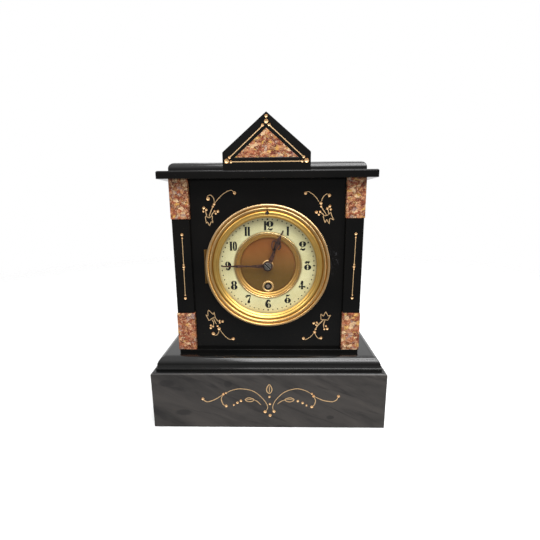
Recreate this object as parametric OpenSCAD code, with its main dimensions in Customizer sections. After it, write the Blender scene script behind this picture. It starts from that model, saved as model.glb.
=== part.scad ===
// Marble mantel clock: a black slate case with red marble pilasters and a round spring-driven
// movement with a short pendulum. Millimetres. X runs right, Y runs into the clock, Z runs up.
// The origin is on the resting plane, under the middle of the base.

/* [Base] */
// Width of the base slab
base_w = 240; // [230:1:260]
// Depth of the base slab
base_d = 132; // [128:1:150]
// Height of the base slab
base_h = 61; // [50:1:75]
// Chamfer round the top edge of the base slab
base_chamfer = 1.5; // [0.5:0.5:3]
// Depth of the pendulum's hollow below the end of its rod
well_depth = 8; // [6:1:20]
// Width of the pendulum hollow
well_w = 64; // [56:1:80]
// Depth of the pendulum hollow, half of it in front of the pendulum
well_d = 40; // [30:1:42]

/* [Base moulding] */
// Height of the moulded slab on the base
moulding_h = 13.6; // [10:0.1:18]
// Setback of the moulding's foot from the ends of the base
moulding_foot_in = 4; // [2:0.1:6]
// Setback of the moulding's foot from the front of the base
moulding_front_in = 5.2; // [2:0.1:7]
// Height of the moulding's foot fillet
foot_fillet_h = 2.9; // [1.5:0.1:4]
// Height of the second, smaller fillet
step_fillet_h = 1.8; // [1:0.1:3]
// Setback of the second fillet from the foot
step_in = 1.1; // [0.5:0.1:2]
// Setback of the moulding's top from the ends of the base
moulding_top_in = 13.4; // [9:0.1:16]

/* [Case body] */
// Height of the thin slab between the moulding and the body
subplinth_h = 3.3; // [2:0.1:8]
// Setback of that slab from the sides of the body
subplinth_in = 0.9; // [0.2:0.1:2]
// Width of the case body
body_w = 190; // [184:1:206]
// Height of the case body
body_h = 174.7; // [168:0.1:190]
// Thickness of the slate walls
wall_t = 12; // [9:0.5:14]
// Setback of the pilaster faces from the base front
body_setback = 20.1; // [18:0.1:24]
// Setback of the case back from the base back
back_setback = 10; // [9.5:0.5:11]

/* [Pilasters] */
// Width of each pilaster
pilaster_w = 18.4; // [16:0.1:22]
// How far the pilaster blocks stand out from the front panel
pilaster_proud = 5; // [3:0.1:7]
// How far the slate shaft lies behind the marble blocks
shaft_in = 1; // [0.5:0.1:2]
// Height of the lower marble block
lower_block_h = 40.2; // [30:0.1:50]
// Height of the upper marble block
upper_block_h = 37.6; // [30:0.1:50]

/* [Top] */
// Height of the cornice slab
cornice_h = 7.3; // [5:0.1:10]
// Overhang of the cornice beyond the body sides
cornice_over = 8.4; // [6:0.1:12]
// Overhang of the cornice in front of the pilasters
cornice_front = 9.3; // [7:0.1:12]
// Chamfer on the cornice top edge
cornice_chamfer = 1; // [0.5:0.1:2]
// Height of the capping slab
capping_h = 8.9; // [7:0.1:12]
// Width of the capping slab
capping_w = 190; // [180:1:196]
// Setback of the capping front from the cornice front
capping_in = 11.2; // [10:0.1:14]
// Radius of the capping's rounded top edge
capping_round = 6; // [3:0.5:6.5]
// Width of the pediment
pediment_w = 81.8; // [74:0.1:100]
// Height of the pediment's upright shoulders
pediment_shoulder = 16.1; // [12:0.1:20]
// Height of the pediment's apex above the cornice
pediment_h = 50.8; // [44:0.1:56]
// Setback of the pediment face from the cornice front
pediment_in = 2.9; // [2:0.1:5]
// Depth of the pediment where it stands on the capping
pediment_d = 24; // [18:1:40]
// Width of the marble triangle in the pediment
gable_w = 58.6; // [40:0.1:60]
// Height of the marble triangle
gable_h = 25.5; // [20:0.1:28]
// Height of the marble triangle's lower edge above the cornice
gable_z = 11.4; // [8:0.1:13]
// Thickness of the marble triangle
gable_t = 3; // [2:0.1:4]

/* [Bezel] */
// Height of the dial centre above the body's foot
dial_rise = 89.3; // [86:0.1:96]
// Outside radius of the bezel
bezel_r = 62.2; // [61:0.1:63]
// Radius of the opening that shows the dial
sight_r = 49.1; // [48:0.1:50.5]
// How far the bezel stands in front of the panel
bezel_proud = 9.3; // [8.6:0.1:11]
// Thickness of the fixed ring behind the bezel
flange_t = 2.5; // [2:0.1:3]
// Thickness of the glass
glass_t = 1.6; // [1.2:0.1:2]
// Radius of the hinge knuckles
knuckle_r = 1.1; // [0.9:0.05:1.1]
// Radius of the hinge pins
hinge_pin_r = 0.5; // [0.4:0.05:0.6]
// Length of the bezel hinge
bezel_hinge_l = 35; // [25:1:40]

/* [Dial] */
// Radius of the dial pan
pan_r = 54; // [53.5:0.1:54.4]
// Thickness of the dial pan
pan_t = 1.4; // [1:0.1:2]
// Outside radius of the cream chapter ring
chapter_r = 51.4; // [50.8:0.1:51.5]
// Outside radius of the brass dial centre
centre_r = 34.6; // [32:0.1:36]
// Radius of the sunken dish in the dial centre
dish_r = 28.2; // [27.5:0.1:30]
// Thickness of the chapter ring
chapter_t = 3.4; // [2.4:0.1:4]
// Radius of the winding hole
winding_hole_r = 4; // [3.6:0.1:4.4]
// Length of the minute hand
minute_hand_l = 46; // [40:0.5:48]
// Length of the hour hand
hour_hand_l = 39.5; // [30:0.5:41]
// Angle of the minute hand clockwise from twelve
minute_angle = 270; // [0:1:359]
// Angle of the hour hand clockwise from twelve
hour_angle = 23; // [0:1:359]

/* [Movement frame] */
// Radius of the movement plates
plate_r = 44; // [43:0.5:44.5]
// Thickness of the movement plates
plate_t = 2; // [1.5:0.1:3]
// Distance between the plates
plate_gap = 36; // [35.5:0.1:38]
// Room between the dial pan and the front plate
motion_gap = 8; // [7.8:0.1:9]
// Radius of the pillars between the plates
pillar_r = 3.5; // [2.5:0.1:4]
// Running clearance of every pivot and pipe in its hole
run_gap = 0.05; // [0.03:0.01:0.08]

/* [Barrel] */
// Outside radius of the spring barrel's drum
drum_r = 17; // [14:0.1:17.2]
// Length of the spring barrel's drum
drum_l = 18; // [14:0.1:19]
// Radius of the barrel arbor inside the barrel
barrel_arbor_r = 4; // [3:0.1:4.5]
// Width across the winding square
winding_square = 3.6; // [3:0.1:4]
// Number of coils of the mainspring
spring_coils = 9; // [6:1:11]
// Thickness of the mainspring strip
spring_t = 0.5; // [0.3:0.05:0.6]

/* [Train] */
// Module of the barrel teeth
barrel_mod = 0.5; // [0.49:0.005:0.505]
// Module of the intermediate wheel
inter_mod = 0.4; // [0.39:0.005:0.41]
// Module of the centre wheel
centre_mod = 0.34; // [0.33:0.005:0.345]
// Module of the third wheel
third_mod = 0.28; // [0.27:0.005:0.285]
// Teeth of the escape wheel
escape_teeth = 36; // [30:1:40]
// Radius over the escape wheel's teeth
escape_r = 8.6; // [8:0.1:9]
// Thickness of the train wheels
wheel_t = 1.4; // [1:0.1:1.6]
// Distance of the winding arbor below the centre
winding_drop = 22.2; // [20.2:0.1:22.2]
// Distance of the escape arbor above the centre
escape_rise = 18.5; // [18:0.1:19]
// Distance of the pallet arbor above the escape arbor
pallet_rise = 12.5; // [12.2:0.1:13]

/* [Pendulum] */
// Height of the regulating arbor above the dial centre
regulator_rise = 53.3; // [53:0.1:53.8]
// Height of the suspension's bending point above the pallet arbor
flex_rise = 5.5; // [5:0.1:6]
// Distance of the pendulum behind the back plate
pendulum_back = 16.5; // [16.4:0.1:17.2]
// Length of the pendulum from the bending point to the middle of the bob
pendulum_l = 118; // [112:0.5:119]
// Radius of the pendulum bob
bob_r = 18.5; // [15:0.5:19]
// Thickness of the pendulum bob
bob_t = 11; // [8:0.5:13]
// Radius of the pendulum rod
rod_r = 1.3; // [1:0.1:1.5]

/* [Rear] */
// Radius of the round opening in the case back
rear_r = 52; // [51:0.1:53]
// Outside radius of the rear ring's flange
rear_flange_r = 57; // [56:0.1:58]
// Thickness of the rear door
door_t = 1.4; // [1:0.1:2]

/* [Hidden] */
$fn = 72;
touch = 0.2; // gap between parts that move past each other

// Heights
moulding_z = base_h;
subplinth_z = moulding_z + moulding_h;
body_z = subplinth_z + subplinth_h;
body_top = body_z + body_h;
cornice_top = body_top + cornice_h;
capping_top = cornice_top + capping_h;
dial_z = body_z + dial_rise;

// Depths, from the front of the base towards its back
base_front = -base_d / 2;
pilaster_y = base_front + body_setback;
panel_y = pilaster_y + pilaster_proud;
panel_back = panel_y + wall_t;
case_back = base_d / 2 - back_setback;
cornice_y = pilaster_y - cornice_front;
capping_y = cornice_y + capping_in;
pediment_y = cornice_y + pediment_in;

// Depths of the bezel and dial
flange_y = panel_y - flange_t;
bezel_y = panel_y - bezel_proud;
bezel_back = flange_y - touch;
glass_back = bezel_back - 1.4;
glass_y = glass_back - glass_t;
dial_y = panel_y + 0.4;
pan_y = dial_y + chapter_t;
pan_back = pan_y + pan_t;
lip_t = 1.2;
hand_t = 0.6;
screw_y = glass_back + 0.4;
minute_hand_y = screw_y + 0.9;
hour_hand_y = minute_hand_y + hand_t + 0.8;
dish_y = pan_y - 1;

// Depths of the movement
plate_y = pan_back + motion_gap;
inner_y = plate_y + plate_t;
back_inner_y = inner_y + plate_gap;
back_y = back_inner_y + plate_t;
third_y = inner_y + 6;
escape_y = inner_y + 14;
drum_y = inner_y + 2;
barrel_teeth_t = 2.4;
barrel_gear_y = drum_y + drum_l;
inter_y = barrel_gear_y + barrel_teeth_t + 3;
centre_wheel_y = back_inner_y - 6;
pendulum_y = back_y + pendulum_back;

// Radii of the seats
sleeve_t = 1.3;
fit = 0.1;
sleeve_r = pan_r + fit;
bore_r = sleeve_r + sleeve_t + fit;
lip_r = pan_r - 5;
glass_r = sight_r + 1.6;
hinge_x = -(bezel_r + knuckle_r + 0.1);
hinge_y = flange_y + 0.3;
rear_sleeve_r = rear_r - fit;
rear_inner_r = rear_sleeve_r - sleeve_t;
rear_lip_r = rear_inner_r - 7;
rear_lip_y = case_back - wall_t;
strap_r = pan_r - 3.6;
strap_t = 1.5;
strap_w = 8;
strap_screw_x = rear_inner_r - 3.8;

// Tooth counts of the train: the barrel turns once in 36 hours, the escape wheel 144 times an hour
barrel_teeth = 72;
inter_teeth = 72;
power_leaves = 12;
train_teeth = 84;
train_leaves = 7;

// Arbor places, as [x, z]
function distance_point(a, b, ra, rb, side) =
    let (d = norm(b - a), u = (b - a) / d, s = (ra * ra - rb * rb + d * d) / (2 * d),
         h = sqrt(ra * ra - s * s))
    a + u * s + side * h * [u[1], -u[0]];
function direction(a, b) = atan2(b[1] - a[1], b[0] - a[0]);
centre_at = [0, dial_z];
barrel_at = [0, dial_z - winding_drop];
escape_at = [0, dial_z + escape_rise];
pallet_at = escape_at + [0, pallet_rise];
regulator_at = [0, dial_z + regulator_rise];
barrel_dist = barrel_mod * (barrel_teeth + power_leaves) / 2;
inter_dist = inter_mod * (inter_teeth + power_leaves) / 2;
centre_dist = centre_mod * (train_teeth + train_leaves) / 2;
third_dist = third_mod * (train_teeth + train_leaves) / 2;
inter_at = distance_point(barrel_at, centre_at, barrel_dist, inter_dist, 1);
third_at = distance_point(centre_at, escape_at, centre_dist, third_dist, -1);

// Motion work: 12 to 36 and 10 to 40 give one turn of the hour hand to twelve of the minute hand
cannon_leaves = 12;
minute_teeth = 36;
minute_leaves = 10;
hour_teeth = 40;
motion_dist = 10.8;
cannon_mod = 2 * motion_dist / (cannon_leaves + minute_teeth);
hour_mod = 2 * motion_dist / (minute_leaves + hour_teeth);
motion_angle = 30;
motion_at = centre_at + motion_dist * [cos(motion_angle), sin(motion_angle)];
hour_wheel_y = plate_y - 4.6;
minute_wheel_y = plate_y - 2.8;
cannon_r = 2.2;
hour_pipe_r = 3;
centre_arbor_r = 1;

// Click work
ratchet_y = plate_y - 2.4;
ratchet_t = 1.5;
ratchet_r = 8;
ratchet_teeth = 24;
click_arm = 11.5;
click_angle = 40;

// Suspension
flex_z = pallet_at[1] + flex_rise;
bob_z = flex_z - pendulum_l;
rod_foot = bob_z - bob_r - 7;
chop_top = flex_z - 4.6;
well_rim = 7.2; // slate left behind the pendulum's hollow
regulator_z = regulator_at[1];
bevel_mod = 0.56;
bevel_teeth = 10;
bevel_r = bevel_mod * bevel_teeth / 2;
bevel_t = 1.5;
slide_z = flex_z + 4;
slide_h = 6;
slide_play = 0.1;
cheek_in = 4;
cheek_t = 2;
block_top = regulator_z + 6;
block_foot = flex_z + 0.8;
screw_back = 10.7;
regulator_screw_y = back_y + screw_back;
regulator_screw_r = 1.1;
strip_t = 0.2;
fork_z = pallet_at[1] - 23.5;
crutch_y = back_y + 3;

// Shape helpers

// A plate with its outline drawn as seen from the front, from depth y for thickness t
module facing(at, y, t) {
    translate([at[0], y + t, at[1]]) rotate([90, 0, 0]) linear_extrude(t) children();
}

// A round bar along Y
module bar(at, y0, y1, r) {
    facing(at, y0, y1 - y0) circle(r = r);
}

// A ring along Y
module tube(at, y0, y1, r_out, r_in) {
    facing(at, y0, y1 - y0) difference() {
        circle(r = r_out);
        circle(r = r_in);
    }
}

// A turned piece about Y; the profile is [radius, depth]
module turned(at) {
    translate([at[0], 0, at[1]]) rotate([-90, 0, 0]) rotate_extrude() children();
}

// A straight bar in the plane of the front view, between two points
module strut(a, b, w) {
    translate(a) rotate(atan2(b[1] - a[1], b[0] - a[0]))
        translate([0, -w / 2]) square([norm(b - a), w]);
}

// A block from x0 to x1, y0 to y1, z0 to z1
module block(x0, x1, y0, y1, z0, z1) {
    translate([x0, y0, z0]) cube([x1 - x0, y1 - y0, z1 - z0]);
}

// Points of a quarter arc from angle a0 to a1
function arc(c, r, a0, a1, n = 10) =
    [for (i = [0:n]) let (a = a0 + (a1 - a0) * i / n) c + r * [cos(a), sin(a)]];

// A slab whose front and side edges follow one profile, mitred at the corners.
// profile holds [setback, height] from the foot up; the back is plain.
module edged_slab(w, y0, y1, z, profile) {
    last = len(profile) - 1;
    top = profile[last][1];
    intersection() {
        translate([0, y1, z]) rotate([90, 0, 0]) linear_extrude(y1 - y0)
            polygon(concat([for (p = profile) [w / 2 - p[0], p[1]]],
                           [for (i = [last:-1:0]) [profile[i][0] - w / 2, profile[i][1]]]));
        translate([-w / 2, 0, z]) rotate([90, 0, 90]) linear_extrude(w)
            polygon(concat([for (p = profile) [y0 + p[0], p[1]]], [[y1, top], [y1, 0]]));
    }
}

// Toothed outlines: straight-sided teeth, four points each
function tooth_ring(n, r_root, r_tip, w_root, w_tip, phase) =
    [for (i = [0:n - 1])
        for (p = [[r_root, -w_root], [r_tip, -w_tip], [r_tip, w_tip], [r_root, w_root]])
            let (a = phase + (i + p[1] / 2) * 360 / n) p[0] * [cos(a), sin(a)]];
module wheel_outline(n, m, phase) {
    polygon(tooth_ring(n, n * m / 2 - 1.3 * m, n * m / 2 + 0.9 * m, 0.54, 0.16, phase));
}
module pinion_outline(n, m, phase) {
    polygon(tooth_ring(n, n * m / 2 - 1.4 * m, n * m / 2 + 0.6 * m, 0.36, 0.2, phase));
}

// Windows between the spokes of a wheel
module crossings(r_in, r_out, n, spoke) {
    for (i = [0:n - 1]) {
        a0 = i * 360 / n;
        outer_a = asin(spoke / 2 / r_out);
        inner_a = asin(spoke / 2 / r_in);
        polygon(concat(arc([0, 0], r_out, a0 + outer_a, a0 + 360 / n - outer_a),
                       arc([0, 0], r_in, a0 + 360 / n - inner_a, a0 + inner_a)));
    }
}

// A crossed-out wheel on its arbor's hub
module crossed_wheel(n, m, phase, hub_r) {
    difference() {
        wheel_outline(n, m, phase);
        crossings(hub_r, n * m / 2 - 1.3 * m - 1.4, 4, 1.4);
    }
}

// An arbor between the plates, with a pivot at each end
module arbor(at, r, pivot_r) {
    bar(at, inner_y + touch, back_inner_y - touch, r);
    bar(at, plate_y, back_y, pivot_r);
}

// Case

module base_slab() {
    color("#3a3634") difference() {
        edged_slab(base_w, base_front, base_d / 2, 0,
                   [[0, 0], [0, base_h - base_chamfer], [base_chamfer, base_h]]);
        well(rod_foot - well_depth);
    }
}

// The hollow that the pendulum hangs into, from z0 up
module well(z0) {
    block(-well_w / 2, well_w / 2, pendulum_y - well_d / 2, case_back - well_rim, z0, body_z + 1);
}

module base_moulding() {
    w = base_w - 2 * moulding_foot_in;
    quarter_h = moulding_h - foot_fillet_h - step_fillet_h;
    quarter_w = moulding_top_in - moulding_foot_in - step_in;
    quarter = [for (p = arc([0, 0], 1, 0, 90))
        [step_in + quarter_w * (1 - p[0]), foot_fillet_h + step_fillet_h + quarter_h * p[1]]];
    color("#141414") difference() {
        edged_slab(w, base_front + moulding_front_in, base_d / 2 - 1, moulding_z,
                   concat([[0, 0], [0, foot_fillet_h], [step_in, foot_fillet_h]], quarter));
        well(moulding_z - 1);
    }
}

module sub_plinth() {
    color("#181818") difference() {
        block(subplinth_in - body_w / 2, body_w / 2 - subplinth_in, pilaster_y, case_back,
              subplinth_z, body_z);
        well(subplinth_z - 1);
    }
}

module front_panel() {
    color("#151515") difference() {
        block(-body_w / 2, body_w / 2, panel_y, panel_back, body_z, body_top);
        bar(centre_at, panel_y - 1, panel_back + 1, bore_r);
    }
}

module side_panels() {
    color("#151515") for (s = [-1, 1])
        translate([s * (body_w - wall_t) / 2, 0, 0])
            block(-wall_t / 2, wall_t / 2, panel_back, case_back - wall_t, body_z, body_top);
}

module back_panel() {
    color("#1c1c1c") difference() {
        block(-body_w / 2, body_w / 2, case_back - wall_t, case_back, body_z, body_top);
        bar(centre_at, case_back - wall_t - 1, case_back + 1, rear_r);
    }
}

// A piece of pilaster on one side, from z0 to z1, with its face at depth y
module pilaster_piece(side, y, z0, z1) {
    x = side * (body_w - pilaster_w) / 2;
    block(x - pilaster_w / 2, x + pilaster_w / 2, y, panel_y, z0, z1);
}

module pilaster_shafts() {
    half_w = pilaster_w / 2 - shaft_in / 2;
    color("#131313") for (s = [-1, 1]) {
        x = s * (body_w - pilaster_w) / 2;
        block(x - half_w, x + half_w, pilaster_y + shaft_in, panel_y,
              body_z + lower_block_h, body_top - upper_block_h);
    }
}

module marble_lower_left() {
    color("#8a4a3c") pilaster_piece(-1, pilaster_y, body_z, body_z + lower_block_h);
}
module marble_lower_right() {
    color("#8a4a3c") pilaster_piece(1, pilaster_y, body_z, body_z + lower_block_h);
}
module marble_upper_left() {
    color("#95523f") pilaster_piece(-1, pilaster_y, body_top - upper_block_h, body_top);
}
module marble_upper_right() {
    color("#95523f") pilaster_piece(1, pilaster_y, body_top - upper_block_h, body_top);
}

module cornice_slab() {
    color("#161616")
        edged_slab(body_w + 2 * cornice_over, cornice_y, case_back + 1, body_top,
                   [[0, 0], [0, cornice_h - cornice_chamfer], [cornice_chamfer, cornice_h]]);
}

module capping_slab() {
    r = capping_round;
    color("#141414")
        edged_slab(capping_w, capping_y, case_back, cornice_top,
                   concat([[0, 0]], [for (p = arc([0, 0], r, 0, 90)) [r - p[0], capping_h - r + p[1]]]));
}

module pediment() {
    color("#121212") difference() {
        facing([0, cornice_top], pediment_y, pediment_d)
            polygon([[-pediment_w / 2, 0], [pediment_w / 2, 0], [pediment_w / 2, pediment_shoulder],
                     [0, pediment_h], [-pediment_w / 2, pediment_shoulder]]);
        block(-pediment_w, pediment_w, capping_y, capping_y + 3 * pediment_d,
              cornice_top - 1, capping_top);
        facing([0, cornice_top], pediment_y - 1, gable_t + 1) gable_outline();
    }
}

module gable_outline() {
    polygon([[-gable_w / 2, gable_z], [gable_w / 2, gable_z], [0, gable_z + gable_h]]);
}

module pediment_marble() {
    color("#8f4d3e") facing([0, cornice_top], pediment_y, gable_t) gable_outline();
}

// Bezel, dial and hands

// The hinge knuckles on one axis, each from z0 to z1, bored for the pin
module knuckle(x, y, z0, z1) {
    translate([x, y, z0]) difference() {
        cylinder(r = knuckle_r, h = z1 - z0);
        translate([0, 0, -1]) cylinder(r = hinge_pin_r + run_gap, h = z1 - z0 + 2);
    }
}
mid_knuckle = bezel_hinge_l / 6;

module case_ring() {
    color("#b08d45") {
        difference() {
            union() {
                tube(centre_at, flange_y, panel_y, bezel_r, sleeve_r);
                tube(centre_at, flange_y, pan_back + lip_t, sleeve_r + sleeve_t, sleeve_r);
                tube(centre_at, pan_back, pan_back + lip_t, sleeve_r + sleeve_t, lip_r);
            }
            bar(regulator_at, flange_y - 1, pan_back + lip_t + 1, 2);
        }
        for (s = [-1, 1]) {
            z0 = dial_z + (s > 0 ? mid_knuckle + touch : -bezel_hinge_l / 2);
            z1 = z0 + bezel_hinge_l / 2 - mid_knuckle - touch;
            knuckle(hinge_x, hinge_y, z0, z1);
            difference() {
                block(hinge_x, hinge_x + 6, flange_y, flange_y + 1.2, z0, z1);
                translate([hinge_x, hinge_y, z0 - 1]) cylinder(r = knuckle_r - 0.2, h = z1 - z0 + 2);
                bar(centre_at, flange_y - 1, flange_y + 2, bezel_r - 1);
            }
        }
    }
}

// Section of the bezel: a milled edge, a milled second ring and two polished ribs
module bezel_section() {
    edge_in = bezel_r - 3.2;
    second_out = edge_in - 1;
    second_in = second_out - 2.4;
    rib_out = second_in - 1.2;
    rib_mid = (rib_out + sight_r) / 2;
    difference() {
        union() {
            translate([edge_in, bezel_y + 1.9]) square([3.2, bezel_back - bezel_y - 1.9]);
            translate([(edge_in + bezel_r) / 2, bezel_y + 1.9]) circle(r = 1.6);
            translate([second_in, bezel_y + 3]) square([bezel_r - second_in - 1, bezel_back - bezel_y - 3]);
            translate([second_in, bezel_y + 1.5]) square([2.4, 2]);
            translate([sight_r, bezel_y + 2.4]) square([bezel_r - sight_r - 1, glass_y - bezel_y - 2.4]);
            translate([(rib_out + rib_mid) / 2, bezel_y + 1.3]) circle(r = 1.2);
            translate([(rib_out + rib_mid) / 2 - 1.2, bezel_y + 1.3]) square([2.4, 1.4]);
            translate([(rib_mid + sight_r) / 2, bezel_y + 2.4]) circle(r = 1.1);
            translate([glass_r + fit, glass_y - 1])
                square([bezel_r - glass_r - 1 - fit, bezel_back - glass_y + 1]);
        }
        translate([0, bezel_y - 5]) square([sight_r, bezel_back - bezel_y + 10]);
    }
}

module bezel() {
    color("#c8a050") {
        difference() {
            turned(centre_at) bezel_section();
            facing([0, dial_z], bezel_y - 1, bezel_back - bezel_y + 2)
                translate([-1.9, sight_r + 1.4]) square([3.8, bezel_r - sight_r - 5]);
        }
        knuckle(hinge_x, hinge_y, dial_z - mid_knuckle, dial_z + mid_knuckle);
        difference() {
            block(hinge_x, -bezel_r + 2.4, bezel_back - 1.2, bezel_back,
                  dial_z - mid_knuckle, dial_z + mid_knuckle);
            translate([hinge_x, hinge_y, dial_z - mid_knuckle - 1])
                cylinder(r = knuckle_r - 0.2, h = 2 * mid_knuckle + 2);
            bar(centre_at, bezel_back - 2, bezel_back + 1, bezel_r - 1);
        }
    }
}

module bezel_glass() {
    color([0.85, 0.92, 0.95, 0.35]) bar(centre_at, glass_y, glass_back, glass_r);
}

module bezel_hinge_pin() {
    color("#8d8d8d") translate([hinge_x, hinge_y, dial_z - bezel_hinge_l / 2])
        cylinder(r = hinge_pin_r, h = bezel_hinge_l);
}

// The three feet of the dial on the front plate
foot_r = 1.8;
foot_ring = plate_r - 4;
foot_angles = [90, 210, 330];
function around(at, r, a) = at + r * [cos(a), sin(a)];

module dial_pan() {
    color("#b59755") {
        difference() {
            bar(centre_at, pan_y, pan_back, pan_r);
            bar(centre_at, pan_y - 1, pan_back + 1, hour_pipe_r + 0.4);
            bar(barrel_at, pan_y - 1, pan_back + 1, winding_hole_r + 0.5);
            bar(regulator_at, pan_y - 1, pan_back + 1, regulator_r + run_gap);
        }
        for (a = foot_angles) bar(around(centre_at, foot_ring, a), pan_back - pan_t / 2, plate_y, foot_r);
    }
}

module chapter_ring() {
    color("#d9d2a6") tube(centre_at, dial_y, pan_y, chapter_r, centre_r + 0.1);
}

// Raised collar round the middle of the dial
collar_r = 5.7;
collar_rise = 1.2;
module dial_centre() {
    color("#9a6a3c") difference() {
        turned(centre_at)
            polygon([[hour_pipe_r + 0.4, dish_y - collar_rise], [collar_r, dish_y - collar_rise],
                     [collar_r, dish_y], [dish_r, dish_y], [dish_r + 0.8, dial_y + 0.2],
                     [dish_r + 2, dial_y - 0.3], [centre_r - 1.2, dial_y - 0.5], [centre_r, dial_y],
                     [centre_r, pan_y], [hour_pipe_r + 0.4, pan_y]]);
        bar(barrel_at, dial_y - 1, pan_y + 1, winding_hole_r + 0.5);
    }
}

module winding_grommet() {
    color("#caa258") {
        tube(barrel_at, dish_y - 1.2, dish_y, winding_hole_r + 1.6, winding_hole_r);
        tube(barrel_at, dish_y - 1.2, pan_back, winding_hole_r + 0.5, winding_hole_r);
    }
}

// A hand pointing up its own plane: a round boss and a blade with one outline on both sides,
// given as [half width, distance from the centre]
module hand_outline(boss_r, blade, tip) {
    left = [for (i = [len(blade) - 1:-1:0]) [-blade[i][0], blade[i][1]]];
    circle(r = boss_r);
    polygon(concat(blade, [[0, tip]], left));
}

hand_boss_r = 5.2;
hour_boss_r = 5;
module minute_hand_outline() {
    l = minute_hand_l;
    difference() {
        hand_outline(hand_boss_r, [[1.5, 2], [0.7, 11], [0.5, l * 0.42], [1, l * 0.5], [1.3, l * 0.58],
                           [0.7, l * 0.68], [0.5, l - 1.5]], l);
        circle(r = centre_arbor_r);
    }
}

module hour_hand_outline() {
    l = hour_hand_l;
    loop_at = l * 0.62;
    difference() {
        hand_outline(hour_boss_r, [[1.8, 3.5], [1.9, l * 0.3], [1.3, l * 0.45], [4.2, loop_at],
                                   [2.9, loop_at + 4], [1.9, loop_at + 3.4], [1.6, loop_at + 6.5],
                                   [0.6, loop_at + 8], [0.5, l - 1]], l);
        circle(r = hour_pipe_r);
        for (s = [-1, 1]) translate([s * 1.9, loop_at - 0.4]) circle(r = 0.9);
    }
}

module hour_hand() {
    color("#3a2a30") facing(centre_at, hour_hand_y, hand_t) rotate(-hour_angle) hour_hand_outline();
}

module minute_hand() {
    color("#33272c") facing(centre_at, minute_hand_y, hand_t)
        rotate(-minute_angle) minute_hand_outline();
}

hand_screw_r = 4;
module hand_screw() {
    color("#77706c") difference() {
        turned(centre_at)
            polygon([[0, screw_y], [hand_screw_r - 0.6, screw_y + 0.1], [hand_screw_r, screw_y + 0.4],
                     [hand_screw_r, minute_hand_y], [0, minute_hand_y]]);
        facing(centre_at, screw_y - 1, 1.4) rotate(-45) square([2 * hand_screw_r + 1, 0.6], center = true);
    }
}

// Movement frame

pillar_ring = plate_r - 6;
pillar_angles = [45, 135, 225, 315];
pillar_screw_r = 1.3;

// Holes that both plates share
module train_holes(y0, y1) {
    bar(inter_at, y0, y1, 0.7 + run_gap);
    bar(third_at, y0, y1, 0.5 + run_gap);
    bar(escape_at, y0, y1, 0.5 + run_gap);
    for (a = pillar_angles) bar(around(centre_at, pillar_ring, a), y0, y1, pillar_screw_r);
}

module front_plate() {
    color("#c4a35a") {
        difference() {
            bar(centre_at, plate_y, inner_y, plate_r);
            train_holes(plate_y - 1, inner_y + 1);
            bar(centre_at, plate_y - 1, inner_y + 1, centre_arbor_r + 0.5 + run_gap);
            bar(barrel_at, plate_y - 1, inner_y + 1, front_barrel_pivot_r + run_gap);
            bar(pallet_at, plate_y - 1, inner_y + 1, 0.5 + run_gap);
        }
        bar(motion_at, minute_wheel_y - 3.4, plate_y + plate_t / 2, motion_stud_r);
        bar(click_at, ratchet_y - 1.4, plate_y + plate_t / 2, click_stud_r);
    }
}
front_barrel_pivot_r = 3;
rear_barrel_pivot_r = 2.6;
motion_stud_r = 0.9;
click_stud_r = 1.2;
click_at = around(barrel_at, click_arm, click_angle);

module back_plate() {
    color("#c4a35a") difference() {
        union() {
            bar(centre_at, back_inner_y, back_y, plate_r);
            block(-9, 9, back_inner_y, back_y, dial_z + plate_r - 2, block_top);
        }
        train_holes(back_inner_y - 1, back_y + 1);
        bar(centre_at, back_inner_y - 1, back_y + 1, 0.8 + run_gap);
        bar(barrel_at, back_inner_y - 1, back_y + 1, rear_barrel_pivot_r + run_gap);
        bar(pallet_at, back_inner_y - 1, back_y + 1, 1.4);
        bar(regulator_at, back_inner_y - 1, back_y + 1, regulator_r + run_gap);
    }
}

module plate_pillars() {
    color("#bd9b52") for (a = pillar_angles)
        turned(around(centre_at, pillar_ring, a))
            polygon([[0, inner_y], [pillar_r, inner_y], [pillar_r, inner_y + 2.5],
                     [pillar_r - 0.9, inner_y + 3.4], [pillar_r - 0.9, back_inner_y - 3.4],
                     [pillar_r, back_inner_y - 2.5], [pillar_r, back_inner_y], [0, back_inner_y]]);
}

module pillar_screws() {
    color("#46506a") for (a = pillar_angles) {
        at = around(centre_at, pillar_ring, a);
        for (end = [-1, 1]) {
            head = end < 0 ? plate_y - 1.3 : back_y;
            difference() {
                union() {
                    bar(at, head, head + 1.3, 2.7);
                    bar(at, end < 0 ? plate_y - 0.4 : back_inner_y, end < 0 ? inner_y : back_y + 0.4,
                        pillar_screw_r);
                }
                facing(at, end < 0 ? head - 1 : head + 0.7, 1.6) rotate(a) square([7, 0.5], center = true);
            }
        }
    }
}

// Barrel

module barrel() {
    color("#c9a75c") difference() {
        union() {
            bar(barrel_at, drum_y, barrel_gear_y, drum_r);
            facing(barrel_at, barrel_gear_y, barrel_teeth_t)
                wheel_outline(barrel_teeth, barrel_mod, direction(barrel_at, inter_at));
        }
        bar(barrel_at, drum_y - 1, barrel_gear_y, drum_r - 1.2);
        bar(barrel_at, drum_y, barrel_gear_y + barrel_teeth_t + 1, rear_barrel_pivot_r + run_gap);
    }
}

module barrel_cover() {
    color("#d0b06a") tube(barrel_at, drum_y, drum_y + cover_t, drum_r - 1.2,
                          front_barrel_pivot_r + run_gap);
}
cover_t = 1.4;

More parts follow.
